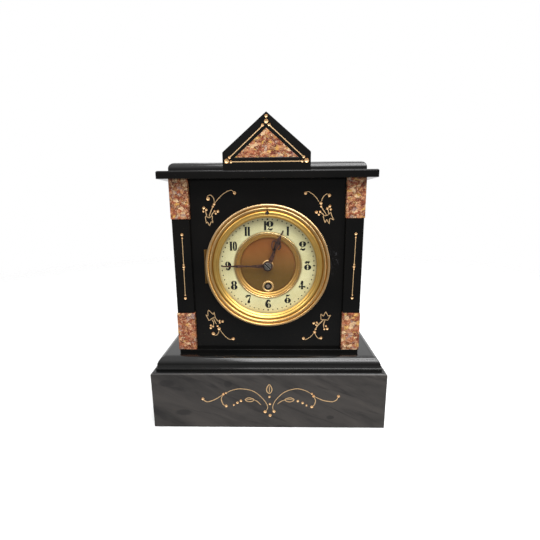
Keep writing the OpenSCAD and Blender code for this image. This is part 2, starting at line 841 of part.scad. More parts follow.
// The mainspring: one strip wound as a spiral, unwound against the drum's wall
module mainspring() {
    inner = barrel_arbor_r + 0.3;
    outer = drum_r - 1.3;
    steps = spring_coils * 24;
    pitch = (outer - inner - spring_t) / spring_coils;
    path = [for (i = [0:steps]) [inner + pitch * i / 24, i * 15]];
    color("#6b7078") facing(barrel_at, drum_y + cover_t + 0.4, drum_l - cover_t - 0.8)
        polygon(concat([for (p = path) p[0] * [cos(p[1]), sin(p[1])]],
                       [for (i = [steps:-1:0])
                           (path[i][0] + spring_t) * [cos(path[i][1]), sin(path[i][1])]]));
}

module barrel_arbor() {
    core_r = winding_square / 2 - 0.2;
    square_y = dish_y + 0.6;
    color("#8c8f94") {
        bar(barrel_at, drum_y + cover_t + touch, barrel_gear_y - touch, barrel_arbor_r);
        bar(barrel_at, ratchet_y - 0.6, drum_y + cover_t + touch, front_barrel_pivot_r);
        bar(barrel_at, barrel_gear_y - touch, back_y, rear_barrel_pivot_r);
        bar(barrel_at, square_y + 1, back_y - 1, core_r);
        facing(barrel_at, square_y, ratchet_y - 0.6 - square_y)
            rotate(45) square(winding_square, center = true);
    }
}

module ratchet_wheel() {
    color("#9a9ca0") facing(barrel_at, ratchet_y, ratchet_t) difference() {
        polygon([for (i = [0:ratchet_teeth - 1])
            for (p = [[ratchet_r - 0.9, 0.08], [ratchet_r, 0.9], [ratchet_r, 1]])
                let (a = click_tip_a + (i + p[1]) * 360 / ratchet_teeth) p[0] * [cos(a), sin(a)]]);
        circle(r = front_barrel_pivot_r);
    }
}
click_tip_a = 5;
click_tip = around([0, 0], ratchet_r + 0.35, click_tip_a);

// The click rests just clear of the ratchet's teeth
module click() {
    local = click_tip - (click_at - barrel_at);
    color("#8a8d92") facing(click_at, ratchet_y, ratchet_t) difference() {
        union() {
            circle(r = 2.4);
            polygon([[-1.6, -1.6], local, local + [1.2, 0.3], [2.2, -0.6]]);
        }
        circle(r = click_stud_r + run_gap);
    }
}

// A bent strip that presses the click inwards, with its foot screwed to the front plate
module click_spring() {
    foot = [9, -9];
    tip = [2, -3.6];
    color("#5b6470") {
        bar(click_at + foot, ratchet_y, plate_y, 2);
        facing(click_at, ratchet_y, 1.2) strut(foot, tip, 0.5);
    }
}

// Train

module intermediate_wheel() {
    color("#c9a75c") {
        arbor(inter_at, 1.3, 0.7);
        facing(inter_at, inter_y, wheel_t)
            crossed_wheel(inter_teeth, inter_mod, direction(inter_at, centre_at), 3.6);
        facing(inter_at, barrel_gear_y - 0.4, barrel_teeth_t + 0.8)
            pinion_outline(power_leaves, barrel_mod,
                           direction(barrel_at, inter_at) + 180 + 180 / power_leaves);
    }
}

module centre_wheel() {
    color("#c9a75c") {
        bar(centre_at, inner_y + touch, back_inner_y - touch, 1.5);
        bar(centre_at, minute_hand_y, inner_y + touch, centre_arbor_r);
        bar(centre_at, minute_hand_y + 1, back_y, 0.8);
        facing(centre_at, centre_wheel_y, wheel_t)
            crossed_wheel(train_teeth, centre_mod, direction(centre_at, third_at), 3.4);
        facing(centre_at, inter_y - 0.8, wheel_t + 1.6)
            pinion_outline(power_leaves, inter_mod,
                           direction(inter_at, centre_at) + 180 + 180 / power_leaves);
    }
}

module third_wheel() {
    color("#c9a75c") {
        arbor(third_at, 0.65, 0.5);
        facing(third_at, third_y, wheel_t)
            crossed_wheel(train_teeth, third_mod, direction(third_at, escape_at), 2.6);
        bar(third_at, third_y + wheel_t, third_y + wheel_t + 1.2, 2.2);
        facing(third_at, centre_wheel_y - 0.8, wheel_t + 1.6)
            pinion_outline(train_leaves, centre_mod,
                           direction(centre_at, third_at) + 180 + 180 / train_leaves);
    }
}

module escape_wheel() {
    color("#d2b268") {
        arbor(escape_at, 0.5, 0.5);
        facing(escape_at, escape_y, 1) difference() {
            polygon([for (i = [0:escape_teeth - 1])
                for (p = [[escape_r - 1.6, -0.5], [escape_r, -0.06], [escape_r, 0.02], [escape_r - 1.6, 0.1]])
                    let (a = (i + p[1]) * 360 / escape_teeth) p[0] * [cos(a), sin(a)]]);
            crossings(2.2, escape_r - 2.6, 4, 1);
        }
        facing(escape_at, third_y - 0.8, wheel_t + 1.6)
            pinion_outline(train_leaves, third_mod,
                           direction(third_at, escape_at) + 180 + 180 / train_leaves);
    }
}

// Two pins on an anchor, held clear of the escape wheel's teeth over the whole swing
pallet_pin_r = 0.9;
pallet_gap = 0.95;
module pallets() {
    reach = escape_r + pallet_gap + pallet_pin_r;
    color("#8e9196") {
        bar(pallet_at, plate_y, cock_y + cock_t, 0.5);
        bar(pallet_at, inner_y + touch, back_y, 0.9);
        facing(escape_at, escape_y - 1.8, 1.4) {
            for (s = [-1, 1]) strut([0, pallet_rise], reach * [s * sin(45), cos(45)], 1.8);
            translate([0, pallet_rise]) circle(r = 2);
            for (s = [-1, 1]) translate(reach * [s * sin(45), cos(45)]) circle(r = 1.3);
        }
        for (s = [-1, 1])
            bar(escape_at + reach * [s * sin(45), cos(45)], escape_y - 1.8, escape_y + 1.4, pallet_pin_r);
    }
}

// The crutch hangs behind the back plate and straddles the pendulum rod
fork_gap = 0.25;
fork_pin_r = 0.5;
module crutch() {
    at = [0, fork_z];
    x = rod_r + fork_gap + fork_pin_r;
    color("#85888d") {
        facing(pallet_at, crutch_y, 1.2) difference() {
            union() {
                circle(r = 2);
                strut([0, 0], at - pallet_at, 1.6);
                translate(at - pallet_at) square([2 * x + 1.6, 2], center = true);
            }
            circle(r = 0.5);
        }
        for (s = [-1, 1]) bar(at + [s * x, 0], crutch_y, pendulum_y + rod_r + 1, fork_pin_r);
    }
}
cock_y = back_y + 6;
cock_t = 1.5;
cock_l = 24;
cock_w = 8;

module back_cock() {
    color("#c4a35a") {
        difference() {
            facing(pallet_at, cock_y, cock_t) {
                square([cock_l, cock_w], center = true);
                translate([-cheek_in + fit, 0]) square([2 * (cheek_in - fit), 10]);
            }
            bar(pallet_at, cock_y - 1, cock_y + cock_t + 1, 0.5 + run_gap);
        }
        for (s = [-1, 1])
            bar(pallet_at + [s * (cock_l / 2 - 2.5), 0], back_y, cock_y + cock_t / 2, 2.2);
    }
}

// Motion work

module cannon_pinion() {
    color("#b7b9bc") {
        facing(centre_at, minute_wheel_y - 0.6, 2.6) difference() {
            pinion_outline(cannon_leaves, cannon_mod,
                           direction(motion_at, centre_at) + 180 + 180 / cannon_leaves);
            circle(r = centre_arbor_r);
        }
        tube(centre_at, minute_hand_y + hand_t, minute_wheel_y, cannon_r, centre_arbor_r);
    }
}

module minute_wheel() {
    color("#c9a75c") difference() {
        union() {
            facing(motion_at, minute_wheel_y, 1.2)
                wheel_outline(minute_teeth, cannon_mod, direction(motion_at, centre_at));
            facing(motion_at, hour_wheel_y - 0.5, minute_wheel_y - hour_wheel_y + 0.5)
                pinion_outline(minute_leaves, hour_mod,
                               direction(centre_at, motion_at) + 180 + 180 / minute_leaves);
        }
        bar(motion_at, hour_wheel_y - 1, plate_y, motion_stud_r + run_gap);
    }
}

module hour_wheel() {
    color("#c9a75c") {
        facing(centre_at, hour_wheel_y, 1.2) difference() {
            wheel_outline(hour_teeth, hour_mod, direction(centre_at, motion_at));
            circle(r = cannon_r + run_gap);
        }
        tube(centre_at, hour_hand_y, hour_wheel_y + 1.2, hour_pipe_r, cannon_r + run_gap);
    }
}

// Suspension and regulator

regulator_r = 1.2;
regulator_square = 2.4;

module regulator_arbor() {
    square_y = bezel_y + 2.6;
    color("#5c5f66") {
        bar(regulator_at, pan_y - 2.5, regulator_screw_y - bevel_r + bevel_t / 3, regulator_r);
        bar(regulator_at, pan_y - 3.5, pan_y - 1.5, regulator_r - 0.2);
        facing(regulator_at, square_y, pan_y - 2.5 - square_y)
            rotate(45) square(regulator_square, center = true);
        // Bevel pinion: its teeth narrow towards the crossing of the two axes
        translate([0, regulator_screw_y - bevel_r, regulator_z]) rotate([-90, 0, 0])
            linear_extrude(bevel_t, scale = (bevel_r - bevel_t) / bevel_r)
                pinion_outline(bevel_teeth, bevel_mod, 90);
        bar(regulator_at, regulator_screw_y - bevel_r - 1.6, regulator_screw_y - bevel_r, 1.9);
    }
}

module regulator_screw() {
    z = regulator_z - bevel_r;
    color("#5c5f66") {
        translate([0, regulator_screw_y, z])
            linear_extrude(bevel_t, scale = (bevel_r - bevel_t) / bevel_r)
                pinion_outline(bevel_teeth, bevel_mod, -90 + 180 / bevel_teeth);
        translate([0, regulator_screw_y, block_foot])
            cylinder(r = regulator_screw_r, h = z - block_foot + bevel_t / 3);
    }
}

module suspension_block() {
    cheek_mid = cheek_in + cheek_t / 2;
    color("#b99850") difference() {
        union() {
            block(-cheek_in - cheek_t, cheek_in + cheek_t, back_y + 7.5, back_y + 9, block_foot, block_top);
            for (s = [-1, 1])
                translate([s * (cheek_in + cheek_t / 2), 0, 0])
                    block(-cheek_t / 2, cheek_t / 2, back_y, pendulum_y + 3.4, flex_z + 2, block_top);
            block(-cheek_mid, cheek_mid, back_y + 8, pendulum_y + 3.4, block_foot, block_foot + 1.4);
            block(-cheek_mid, cheek_mid, pendulum_y - 2.6, pendulum_y + 3.4, block_top - 3, block_top);
        }
        block(-cheek_in, cheek_in, back_y + 7, back_y + 9.5, regulator_z - bevel_r - 1.4, block_top - 1.6);
        translate([0, regulator_screw_y, block_foot - 1])
            cylinder(r = regulator_screw_r + run_gap, h = 4);
        block(-1.2, 1.2, pendulum_y - 2.4, pendulum_y + 2.4, block_foot - 1, block_foot + 3);
        for (s = [-1, 1]) strip(s, block_top - 4, block_top - 2);
    }
}

// One of the two suspension strips
module strip(s, z0, z1) {
    translate([0, pendulum_y + s * 1.4, 0]) block(-strip_t / 2, strip_t / 2, -0.8, 0.8, z0, z1);
}

module suspension_slide() {
    color("#c8a860") difference() {
        block(-cheek_in + slide_play, cheek_in - slide_play, back_y + 9 + slide_play, pendulum_y + 3.2,
              slide_z, slide_z + slide_h);
        translate([0, regulator_screw_y, slide_z - 1])
            cylinder(r = regulator_screw_r + run_gap, h = slide_h + 2);
        block(-strip_t / 2 - 0.1, strip_t / 2 + 0.1, pendulum_y - 2.4, pendulum_y + 2.4,
              slide_z - 1, slide_z + slide_h + 1);
    }
}

module suspension_spring() {
    color("#7d8086") for (s = [-1, 1]) strip(s, flex_z + 0.1, block_top - 2);
}

// Pendulum

module pendulum_rod() {
    color("#a98a4a") {
        for (s = [-1, 1]) strip(s, chop_top - 1, flex_z - 0.1);
        block(-1.2, 1.2, pendulum_y - 2.8, pendulum_y + 2.8, chop_top - 3, chop_top);
        translate([0, pendulum_y, rod_foot]) cylinder(r = rod_r, h = chop_top - 2 - rod_foot);
    }
}

module pendulum_bob() {
    edge = 1.2;
    bulge = (bob_r * bob_r + pow(bob_t / 2 - edge / 2, 2)) / (bob_t - edge);
    color("#c19d55") difference() {
        turned([0, bob_z]) translate([0, pendulum_y]) polygon(concat(
            [for (p = [0:8]) let (a = asin(bob_r / bulge) * p / 8)
                [bulge * sin(a), -bob_t / 2 + bulge * (1 - cos(a))]],
            [for (p = [8:-1:0]) let (a = asin(bob_r / bulge) * p / 8)
                [bulge * sin(a), bob_t / 2 - bulge * (1 - cos(a))]]));
        translate([0, pendulum_y, bob_z - bob_r - 1])
            cylinder(r = rod_r + run_gap, h = 2 * bob_r + 2);
    }
}

module rating_nut() {
    color("#caa75c") translate([0, pendulum_y, bob_z - bob_r - 3.3]) difference() {
        cylinder(r = 4, h = 3);
        translate([0, 0, -1]) cylinder(r = rod_r + run_gap, h = 5);
        for (i = [0:23]) rotate(i * 15) translate([4, 0, -1]) cylinder(r = 0.25, h = 5, $fn = 4);
    }
}

// Fixing to the case

strap_foot_t = 4;
strap_toe = 3.4;
module mounting_straps() {
    y0 = pan_back + lip_t;
    y1 = rear_lip_y - 12;
    color("#8f9297") for (s = [-1, 1]) mirror([s < 0 ? 1 : 0, 0, 0]) difference() {
        union() {
            block(strap_r - strap_t, strap_r, y0, y1, dial_z - strap_w / 2, dial_z + strap_w / 2);
            block(strap_r - strap_t, strap_r + strap_toe, y0, y0 + 1.2, dial_z - strap_w / 2,
                  dial_z + strap_w / 2);
            block(strap_screw_x - 2, strap_r, y1 - strap_foot_t, y1, dial_z - strap_w / 2,
                  dial_z + strap_w / 2);
        }
        bar([strap_screw_x, dial_z], y1 - strap_foot_t - 1, y1 + 1, strap_screw_r);
    }
}
strap_screw_r = 1.25;
strap_screw_l = 16;
strap_head_r = 2.8;
strap_head_t = 2;

module strap_screws() {
    head_y = rear_lip_y + lip_t;
    color("#46506a") for (s = [-1, 1]) {
        at = [s * strap_screw_x, dial_z];
        difference() {
            union() {
                bar(at, rear_lip_y - strap_screw_l, head_y, strap_screw_r);
                bar(at, head_y, head_y + strap_head_t, strap_head_r);
            }
            facing(at, head_y + 1, 2) square([8, 0.7], center = true);
        }
    }
}

door_hinge_x = rear_flange_r + 2.4;
door_hinge_y = case_back + 2.2;
door_knuckle_r = 1.4;
door_knuckle_l = 9.6;
ring_knuckle_l = 7;
knuckle_gap = 0.2;
rear_pin_l = door_knuckle_l + 2 * (knuckle_gap + ring_knuckle_l);
door_y = case_back + 1.6;
door_r = rear_flange_r - 1;
door_in = door_r - 6; // radius of the door's raised middle
rear_flange_t = 1.4;
knob_inset = 12;
knob_r = 3.2;
knob_neck_r = 1.4;
knob_h = 5.4;

// Knuckle of the rear hinge
module rear_knuckle(z0, z1) {
    translate([door_hinge_x, door_hinge_y, z0]) difference() {
        cylinder(r = door_knuckle_r, h = z1 - z0);
        translate([0, 0, -1]) cylinder(r = hinge_pin_r + run_gap, h = z1 - z0 + 2);
    }
}

module rear_ring() {
    color("#b08d45") {
        difference() {
            union() {
                tube(centre_at, case_back, case_back + rear_flange_t, rear_flange_r, rear_inner_r);
                tube(centre_at, rear_lip_y, case_back + rear_flange_t, rear_sleeve_r, rear_inner_r);
                tube(centre_at, rear_lip_y, rear_lip_y + lip_t, rear_sleeve_r, rear_lip_r);
            }
            for (s = [-1, 1])
                bar([s * strap_screw_x, dial_z], rear_lip_y - 1, rear_lip_y + lip_t + 1, strap_screw_r);
        }
        for (s = [-1, 1]) {
            z0 = dial_z + (s > 0 ? door_knuckle_l / 2 + knuckle_gap : -rear_pin_l / 2);
            rear_knuckle(z0, z0 + ring_knuckle_l);
            difference() {
                block(rear_flange_r - 4, door_hinge_x, case_back, case_back + rear_flange_t, z0,
                      z0 + ring_knuckle_l);
                bar(centre_at, case_back - 1, case_back + rear_flange_t + 1, rear_flange_r - 1);
                translate([door_hinge_x, door_hinge_y, z0 - 1])
                    cylinder(r = door_knuckle_r - 0.2, h = ring_knuckle_l + 2);
            }
        }
    }
}

module rear_door() {
    color("#bd9b52") {
        turned(centre_at)
            polygon([[0, door_y + 1], [door_in, door_y + 1], [door_in + 2, door_y], [door_r, door_y],
                     [door_r, door_y + door_t], [door_r - 3.4, door_y + door_t],
                     [door_in + 0.6, door_y + 1 + door_t], [0, door_y + 1 + door_t]]);
        turned([knob_inset - door_r, dial_z])
            polygon([[0, door_y + 1], [knob_neck_r, door_y + 1], [knob_neck_r, door_y + knob_h - 1.8],
                     [knob_r, door_y + knob_h - 1], [knob_r, door_y + knob_h + 0.4],
                     [0, door_y + knob_h + 1]]);
        rear_knuckle(dial_z - door_knuckle_l / 2, dial_z + door_knuckle_l / 2);
        difference() {
            block(door_r - 3, door_hinge_x, door_y, door_y + 1.2, dial_z - door_knuckle_l / 2,
                  dial_z + door_knuckle_l / 2);
            bar(centre_at, door_y - 1, door_y + 2, door_r - 1);
            translate([door_hinge_x, door_hinge_y, dial_z - door_knuckle_l / 2 - 1])
                cylinder(r = door_knuckle_r - 0.2, h = door_knuckle_l + 2);
        }
    }
}

module rear_hinge_pin() {
    color("#8d8d8d") translate([door_hinge_x, door_hinge_y, dial_z - rear_pin_l / 2])
        cylinder(r = hinge_pin_r, h = rear_pin_l);
}

base_slab();
base_moulding();
sub_plinth();
front_panel();
side_panels();
back_panel();
pilaster_shafts();
marble_lower_left();
marble_lower_right();
marble_upper_left();
marble_upper_right();
cornice_slab();
capping_slab();
pediment();
pediment_marble();
case_ring();
bezel();
bezel_glass();
bezel_hinge_pin();
dial_pan();
chapter_ring();
dial_centre();
winding_grommet();
hour_hand();
minute_hand();
hand_screw();
front_plate();
back_plate();
plate_pillars();
pillar_screws();
barrel();
barrel_cover();
mainspring();
barrel_arbor();
ratchet_wheel();
click();
click_spring();
intermediate_wheel();
centre_wheel();
third_wheel();
escape_wheel();
pallets();
crutch();
back_cock();
cannon_pinion();
minute_wheel();
hour_wheel();
suspension_block();
suspension_slide();
suspension_spring();
regulator_arbor();
regulator_screw();
pendulum_rod();
pendulum_bob();
rating_nut();
mounting_straps();
strap_screws();
rear_ring();
rear_door();
rear_hinge_pin();
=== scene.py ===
"""Marble mantel clock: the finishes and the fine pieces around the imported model."""

import math
from contextlib import contextmanager

import bpy
from mathutils import Matrix, Vector


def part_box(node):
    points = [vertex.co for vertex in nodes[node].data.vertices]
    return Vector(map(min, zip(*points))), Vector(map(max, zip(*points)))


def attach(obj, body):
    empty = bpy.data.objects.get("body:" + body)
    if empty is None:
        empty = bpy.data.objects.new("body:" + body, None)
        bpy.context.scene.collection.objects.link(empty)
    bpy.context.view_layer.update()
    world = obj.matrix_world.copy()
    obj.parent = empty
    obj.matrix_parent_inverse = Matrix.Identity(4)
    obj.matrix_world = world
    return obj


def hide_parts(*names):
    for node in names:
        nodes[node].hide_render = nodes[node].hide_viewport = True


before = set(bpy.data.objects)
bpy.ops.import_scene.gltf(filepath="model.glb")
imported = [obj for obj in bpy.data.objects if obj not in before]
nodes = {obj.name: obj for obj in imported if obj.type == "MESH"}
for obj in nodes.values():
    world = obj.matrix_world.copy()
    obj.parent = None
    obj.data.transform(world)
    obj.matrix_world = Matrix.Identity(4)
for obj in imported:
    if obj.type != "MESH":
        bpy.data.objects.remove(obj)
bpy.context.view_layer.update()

MM = 0.001


def low(node):
    """Lowest corner of a CAD node."""
    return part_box(node)[0]


def high(node):
    """Highest corner of a CAD node."""
    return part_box(node)[1]


# Places that the pieces share, from the frame
DIAL = (low("bezel_glass") + high("bezel_glass")) / 2
WINDING = (low("winding_grommet") + high("winding_grommet")) / 2


# Node trees

class Nodes:
    """A node tree in the making: each method adds nodes and gives the output that they end in."""

    def __init__(self, tree):
        self.tree = tree

    def add(self, kind, out=0, settings=None, **inputs):
        """Adds a node, sets its properties and inputs, and gives one output. An input is named, or numbered
        as in_0."""
        node = self.tree.nodes.new(kind)
        for key, value in (settings or {}).items():
            setattr(node, key, value)
        for key, value in inputs.items():
            socket = int(key[3:]) if key.startswith("in_") else key.replace("_", " ")
            self.put(value, node.inputs[socket])
        return node.outputs[out]

    def put(self, value, socket):
        """Links an output to a socket, or sets the socket to a plain value."""
        if isinstance(value, bpy.types.NodeSocket):
            self.tree.links.new(value, socket)
        else:
            socket.default_value = value

    def math(self, operation, a, b=0.0):
        """One step of arithmetic."""
        return self.add("ShaderNodeMath", 0, {"operation": operation}, in_0=a, in_1=b)

    def times(self, a, b):
        """a multiplied by b."""
        return self.math("MULTIPLY", a, b)

    def plus(self, a, b):
        """The sum of a and b."""
        return self.math("ADD", a, b)

    def vector(self, operation, a, b=(0, 0, 0)):
        """One step of vector arithmetic. A length or a product comes out as a number."""
        out = "Value" if operation in ("LENGTH", "DOT_PRODUCT") else "Vector"
        return self.add("ShaderNodeVectorMath", out, {"operation": operation}, in_0=a, in_1=b)

    def part(self, vector, axis):
        """One axis of a vector."""
        return self.add("ShaderNodeSeparateXYZ", axis, Vector=vector)

    def ray(self, kind):
        """1 on rays of one kind, and 0 on the rest."""
        return self.add("ShaderNodeLightPath", kind)

    def spread(self, value, low_in, high_in, low_out=0.0, high_out=1.0):
        """value moved from one range to another, and held inside it."""
        return self.add("ShaderNodeMapRange", Value=value, From_Min=low_in, From_Max=high_in,
                        To_Min=low_out, To_Max=high_out)

    def mix(self, factor, a, b):
        """Two colours mixed."""
        out = self.add("ShaderNodeMix", 2, {"data_type": "RGBA"})
        self.put(factor, out.node.inputs[0])
        for socket, colour in ((6, a), (7, b)):
            value = colour if isinstance(colour, bpy.types.NodeSocket) else (*colour, 1)
            self.put(value, out.node.inputs[socket])
        return out

    def over(self, base, mask, amount, colour):
        """colour laid over base where mask is 1, by amount."""
        return self.mix(self.times(mask, amount), base, colour)


class Finish(Nodes):
    """A material in the making, with its Principled shader. Its patterns follow the object's coordinates."""

    def __init__(self, name, roughness=0.5, metallic=0.0, specular=0.5, coat=0.0, coat_roughness=0.05):
        self.material = bpy.data.materials.new(name)
        self.material.use_nodes = True
        super().__init__(self.material.node_tree)
        self.shader = self.tree.nodes["Principled BSDF"]
        self.place = self.add("ShaderNodeTexCoord", "Object")
        for socket, value in (("Roughness", roughness), ("Metallic", metallic),
                              ("Specular IOR Level", specular), ("Coat Weight", coat),
                              ("Coat Roughness", coat_roughness)):
            self.shader.inputs[socket].default_value = value

    def along(self, axis):
        """The place along one axis, in metres."""
        return self.part(self.place, axis)

    def stretched(self, scale, turn=(0, 0, 0)):
        """The object's coordinates, turned and then scaled along each axis."""
        turned_place = self.add("ShaderNodeMapping", Vector=self.place, Rotation=turn)
        return self.add("ShaderNodeMapping", Vector=turned_place, Scale=scale)

    def noise(self, scale, detail=3.0, rough=0.5, warp=0.0, vector=None, out=0):
        """Noise with scale in patches per metre."""
        return self.add("ShaderNodeTexNoise", out, Vector=vector or self.place, Scale=scale, Detail=detail,
                        Roughness=rough, Distortion=warp)

    def wander(self, scale, detail, low, high, rough=0.5):
        """A value that wanders between low and high in patches, such as a roughness."""
        return self.spread(self.noise(scale, detail, rough), 0.3, 0.7, low, high)

    def cells(self, scale, vector, feature="F1", out="Distance"):
        """Voronoi cells, scale per metre."""
        return self.add("ShaderNodeTexVoronoi", out, {"feature": feature}, Vector=vector, Scale=scale)

    def ramp(self, value, stops, step="LINEAR"):
        """A colour ramp. stops holds (position, colour)."""
        out = self.add("ShaderNodeValToRGB", Fac=value)
        ramp = out.node.color_ramp
        ramp.interpolation = step
        while len(ramp.elements) < len(stops):
            ramp.elements.new(1.0)
        for element, (position, colour) in zip(ramp.elements, stops):
            element.position = position
            element.color = (*colour, 1)
        return out

    def radius(self, centre):
        """Distance from a line along Y through centre."""
        across = self.vector("MULTIPLY", self.place, (1, 0, 1))
        return self.vector("LENGTH", self.vector("SUBTRACT", across, (centre.x, 0, centre.z)))

    def nearness(self, centre, half_wide, half_tall):
        """1 at centre in the front view, falling to 0 at the rim of an oval, whose halves are in mm."""
        offset = self.vector("SUBTRACT", self.place, centre)
        scaled = self.vector("MULTIPLY", offset, (1 / (half_wide * MM), 0, 1 / (half_tall * MM)))
        return self.spread(self.vector("LENGTH", scaled), 1.0, 0.0)

    def turning_lines(self, centre, pitch):
        """Waves round centre, as a lathe leaves them, pitch metres apart."""
        return self.math("SINE", self.times(self.radius(centre), 2 * math.pi / pitch))

    def end(self, colour, roughness=None, height=None, depth=0.0001, strength=0.3):
        """Joins the last outputs to the shader and gives the material."""
        self.put(colour, self.shader.inputs["Base Color"])
        if roughness is not None:
            self.put(roughness, self.shader.inputs["Roughness"])
        if height is not None:
            bump = self.add("ShaderNodeBump", Height=height, Distance=depth, Strength=strength)
            self.put(bump, self.shader.inputs["Normal"])
        return self.material


# Camera and stage

def add_camera():
    """The camera at the photograph's own place, from the solved perspective."""
    place = Vector((8.86, -361.86, 227.47)) * MM
    yaw, pitch, roll = (math.radians(a) for a in (-1.19, 11.37, -0.43))
    focal_px, frame_px, sensor_mm = 320, 540, 36
    forward = Vector((math.sin(yaw) * math.cos(pitch), math.cos(yaw) * math.cos(pitch), -math.sin(pitch)))
    level_right = Vector((math.cos(yaw), -math.sin(yaw), 0))
    above = level_right.cross(forward)
    right = math.cos(roll) * level_right + math.sin(roll) * above
    up = math.cos(roll) * above - math.sin(roll) * level_right
    camera = bpy.data.objects.new("camera", bpy.data.cameras.new("camera"))
    camera.data.sensor_width = sensor_mm
    camera.data.lens = focal_px * sensor_mm / frame_px
    camera.data.clip_start = 0.01
    camera.matrix_world = Matrix.Translation(place) @ Matrix((right, up, -forward)).transposed().to_4x4()
    bpy.context.scene.collection.objects.link(camera)
    bpy.context.scene.camera = camera


def add_lights():
    """Soft studio lamps: name, place, width and height in metres, and watts. All face the clock's middle."""
    aim = Vector((0, 0, 0.15))
    for name, place, width, height, watts in (("overhead", (0.2, -0.45, 1.35), 1.0, 0.5, 9.5),
                                              ("front_above", (0.35, -1.1, 1.15), 1.2, 0.7, 10.5),
                                              ("strip", (0.25, -0.85, 1.2), 0.8, 0.1, 3),
                                              ("upper_left", (-0.95, -0.6, 0.95), 0.4, 0.3, 3.5),
                                              ("upper_right", (0.8, -0.6, 0.95), 0.3, 0.3, 3),
                                              ("behind", (0.1, 1.1, 1.7), 1.2, 0.6, 9)):
        lamp = bpy.data.lights.new(name, "AREA")
        lamp.shape = "RECTANGLE"
        lamp.size, lamp.size_y = width, height
        lamp.energy = watts
        holder = bpy.data.objects.new(name, lamp)
        holder.location = place
        holder.rotation_euler = (aim - Vector(place)).to_track_quat("-Z", "Y").to_euler()
        bpy.context.scene.collection.objects.link(holder)


def add_world():
    """A white surround for the camera, and for glossy rays a room that is dim in front and bright above."""
    world = bpy.data.worlds.new("studio")
    world.use_nodes = True
    bpy.context.scene.world = world
    n = Nodes(world.node_tree)
    n.tree.nodes.clear()
    direction = n.add("ShaderNodeTexCoord", "Generated")
    above = n.spread(n.part(direction, "Z"), 0.05, 0.75, 0.2, 1.0)
    behind = n.spread(n.part(direction, "Y"), -0.85, 0.5)
    room = n.math("MAXIMUM", above, behind)
    lit = n.add("ShaderNodeMix", Factor=n.ray("Is Glossy Ray"), A=0.5, B=room)
    seen = n.math("MAXIMUM", n.ray("Is Camera Ray"), n.ray("Is Transmission Ray"))
    strength = n.add("ShaderNodeMix", Factor=seen, A=lit, B=1.0)
    background = n.add("ShaderNodeBackground", Color=(1, 1, 1, 1), Strength=strength)
    n.put(background, n.tree.nodes.new("ShaderNodeOutputWorld").inputs["Surface"])


def add_floor():
    """A pale floor under the clock: white to the camera, and dimmer in reflections and on the clock."""
    bpy.ops.mesh.primitive_circle_add(vertices=96, radius=1, fill_type="NGON", location=(0, 0.35, -0.0002))
    floor = bpy.context.object
    floor.name = "floor"
    floor.scale = (1.2, 0.95, 1)
    f = Finish("pale_floor", roughness=0.9, specular=0.1)
    tone = f.mix(f.ray("Is Glossy Ray"), (0.55, 0.54, 0.52), (0.28, 0.28, 0.28))
    tone = f.mix(f.ray("Is Camera Ray"), tone, (1, 1, 1))
    f.put(f.spread(f.vector("LENGTH", f.place), 0.9, 0.45), f.shader.inputs["Alpha"])
    floor.data.materials.append(f.end(tone))


# Finishes

def polished_slate(name="polished_slate", gloss=0.25, worn_x=None):
    """Black slate with a deep polish, faint cloudy wear, hairline scratches and specks.
    Where worn_x is given, upright edges that far from the middle, in metres, are worn grey."""
    f = Finish(name, specular=gloss)
    base = f.ramp(f.noise(14, 4, 0.6), [(0.3, (0.0024, 0.0026, 0.0026)), (0.7, (0.0052, 0.0046, 0.0042))])
    base = f.over(base, f.spread(f.noise(900, 2, 0.6), 0.74, 0.8), 0.3, (0.07, 0.065, 0.06))
    scratch = f.noise(1, 3, 0.6, 0.4, f.stretched((900, 900, 26), (0.2, 0.5, 0.15)))
    scratched = f.times(f.spread(scratch, 0.7, 0.76), f.spread(f.noise(30, 2), 0.52, 0.65))
    base = f.over(base, scratched, 0.2, (0.1, 0.095, 0.09))
    scuff = f.noise(1, 4, 0.7, 0.6, f.stretched((700, 700, 260), (0, 0.6, 0)))
    beside_bezel = f.nearness(DIAL + Vector((65.5, 0, 6)) * MM, 7, 18)
    scuffed = f.times(f.spread(scuff, 0.56, 0.66), f.spread(beside_bezel, 0.0, 0.5))
    base = f.over(base, scuffed, 0.5, (0.085, 0.085, 0.09))
    if worn_x:
        from_edge = f.math("ABSOLUTE", f.math("SUBTRACT", f.math("ABSOLUTE", f.along("X")), worn_x))
        chips = f.noise(1, 5, 0.75, 0.3, f.stretched((500, 500, 150)))
        edge = f.times(f.spread(from_edge, 0.0008, 0.0004), f.spread(chips, 0.38, 0.62))
        base = f.over(base, edge, 0.7, (0.19, 0.18, 0.165))
    rough = f.spread(f.noise(45, 5, 0.65), 0.3, 0.75, 0.08, 0.2)
    height = f.plus(f.noise(60, 3), f.times(f.noise(700, 2), 0.15))
    return f.end(base, f.plus(rough, f.times(scratched, 0.25)), height, 0.00008, 0.25)


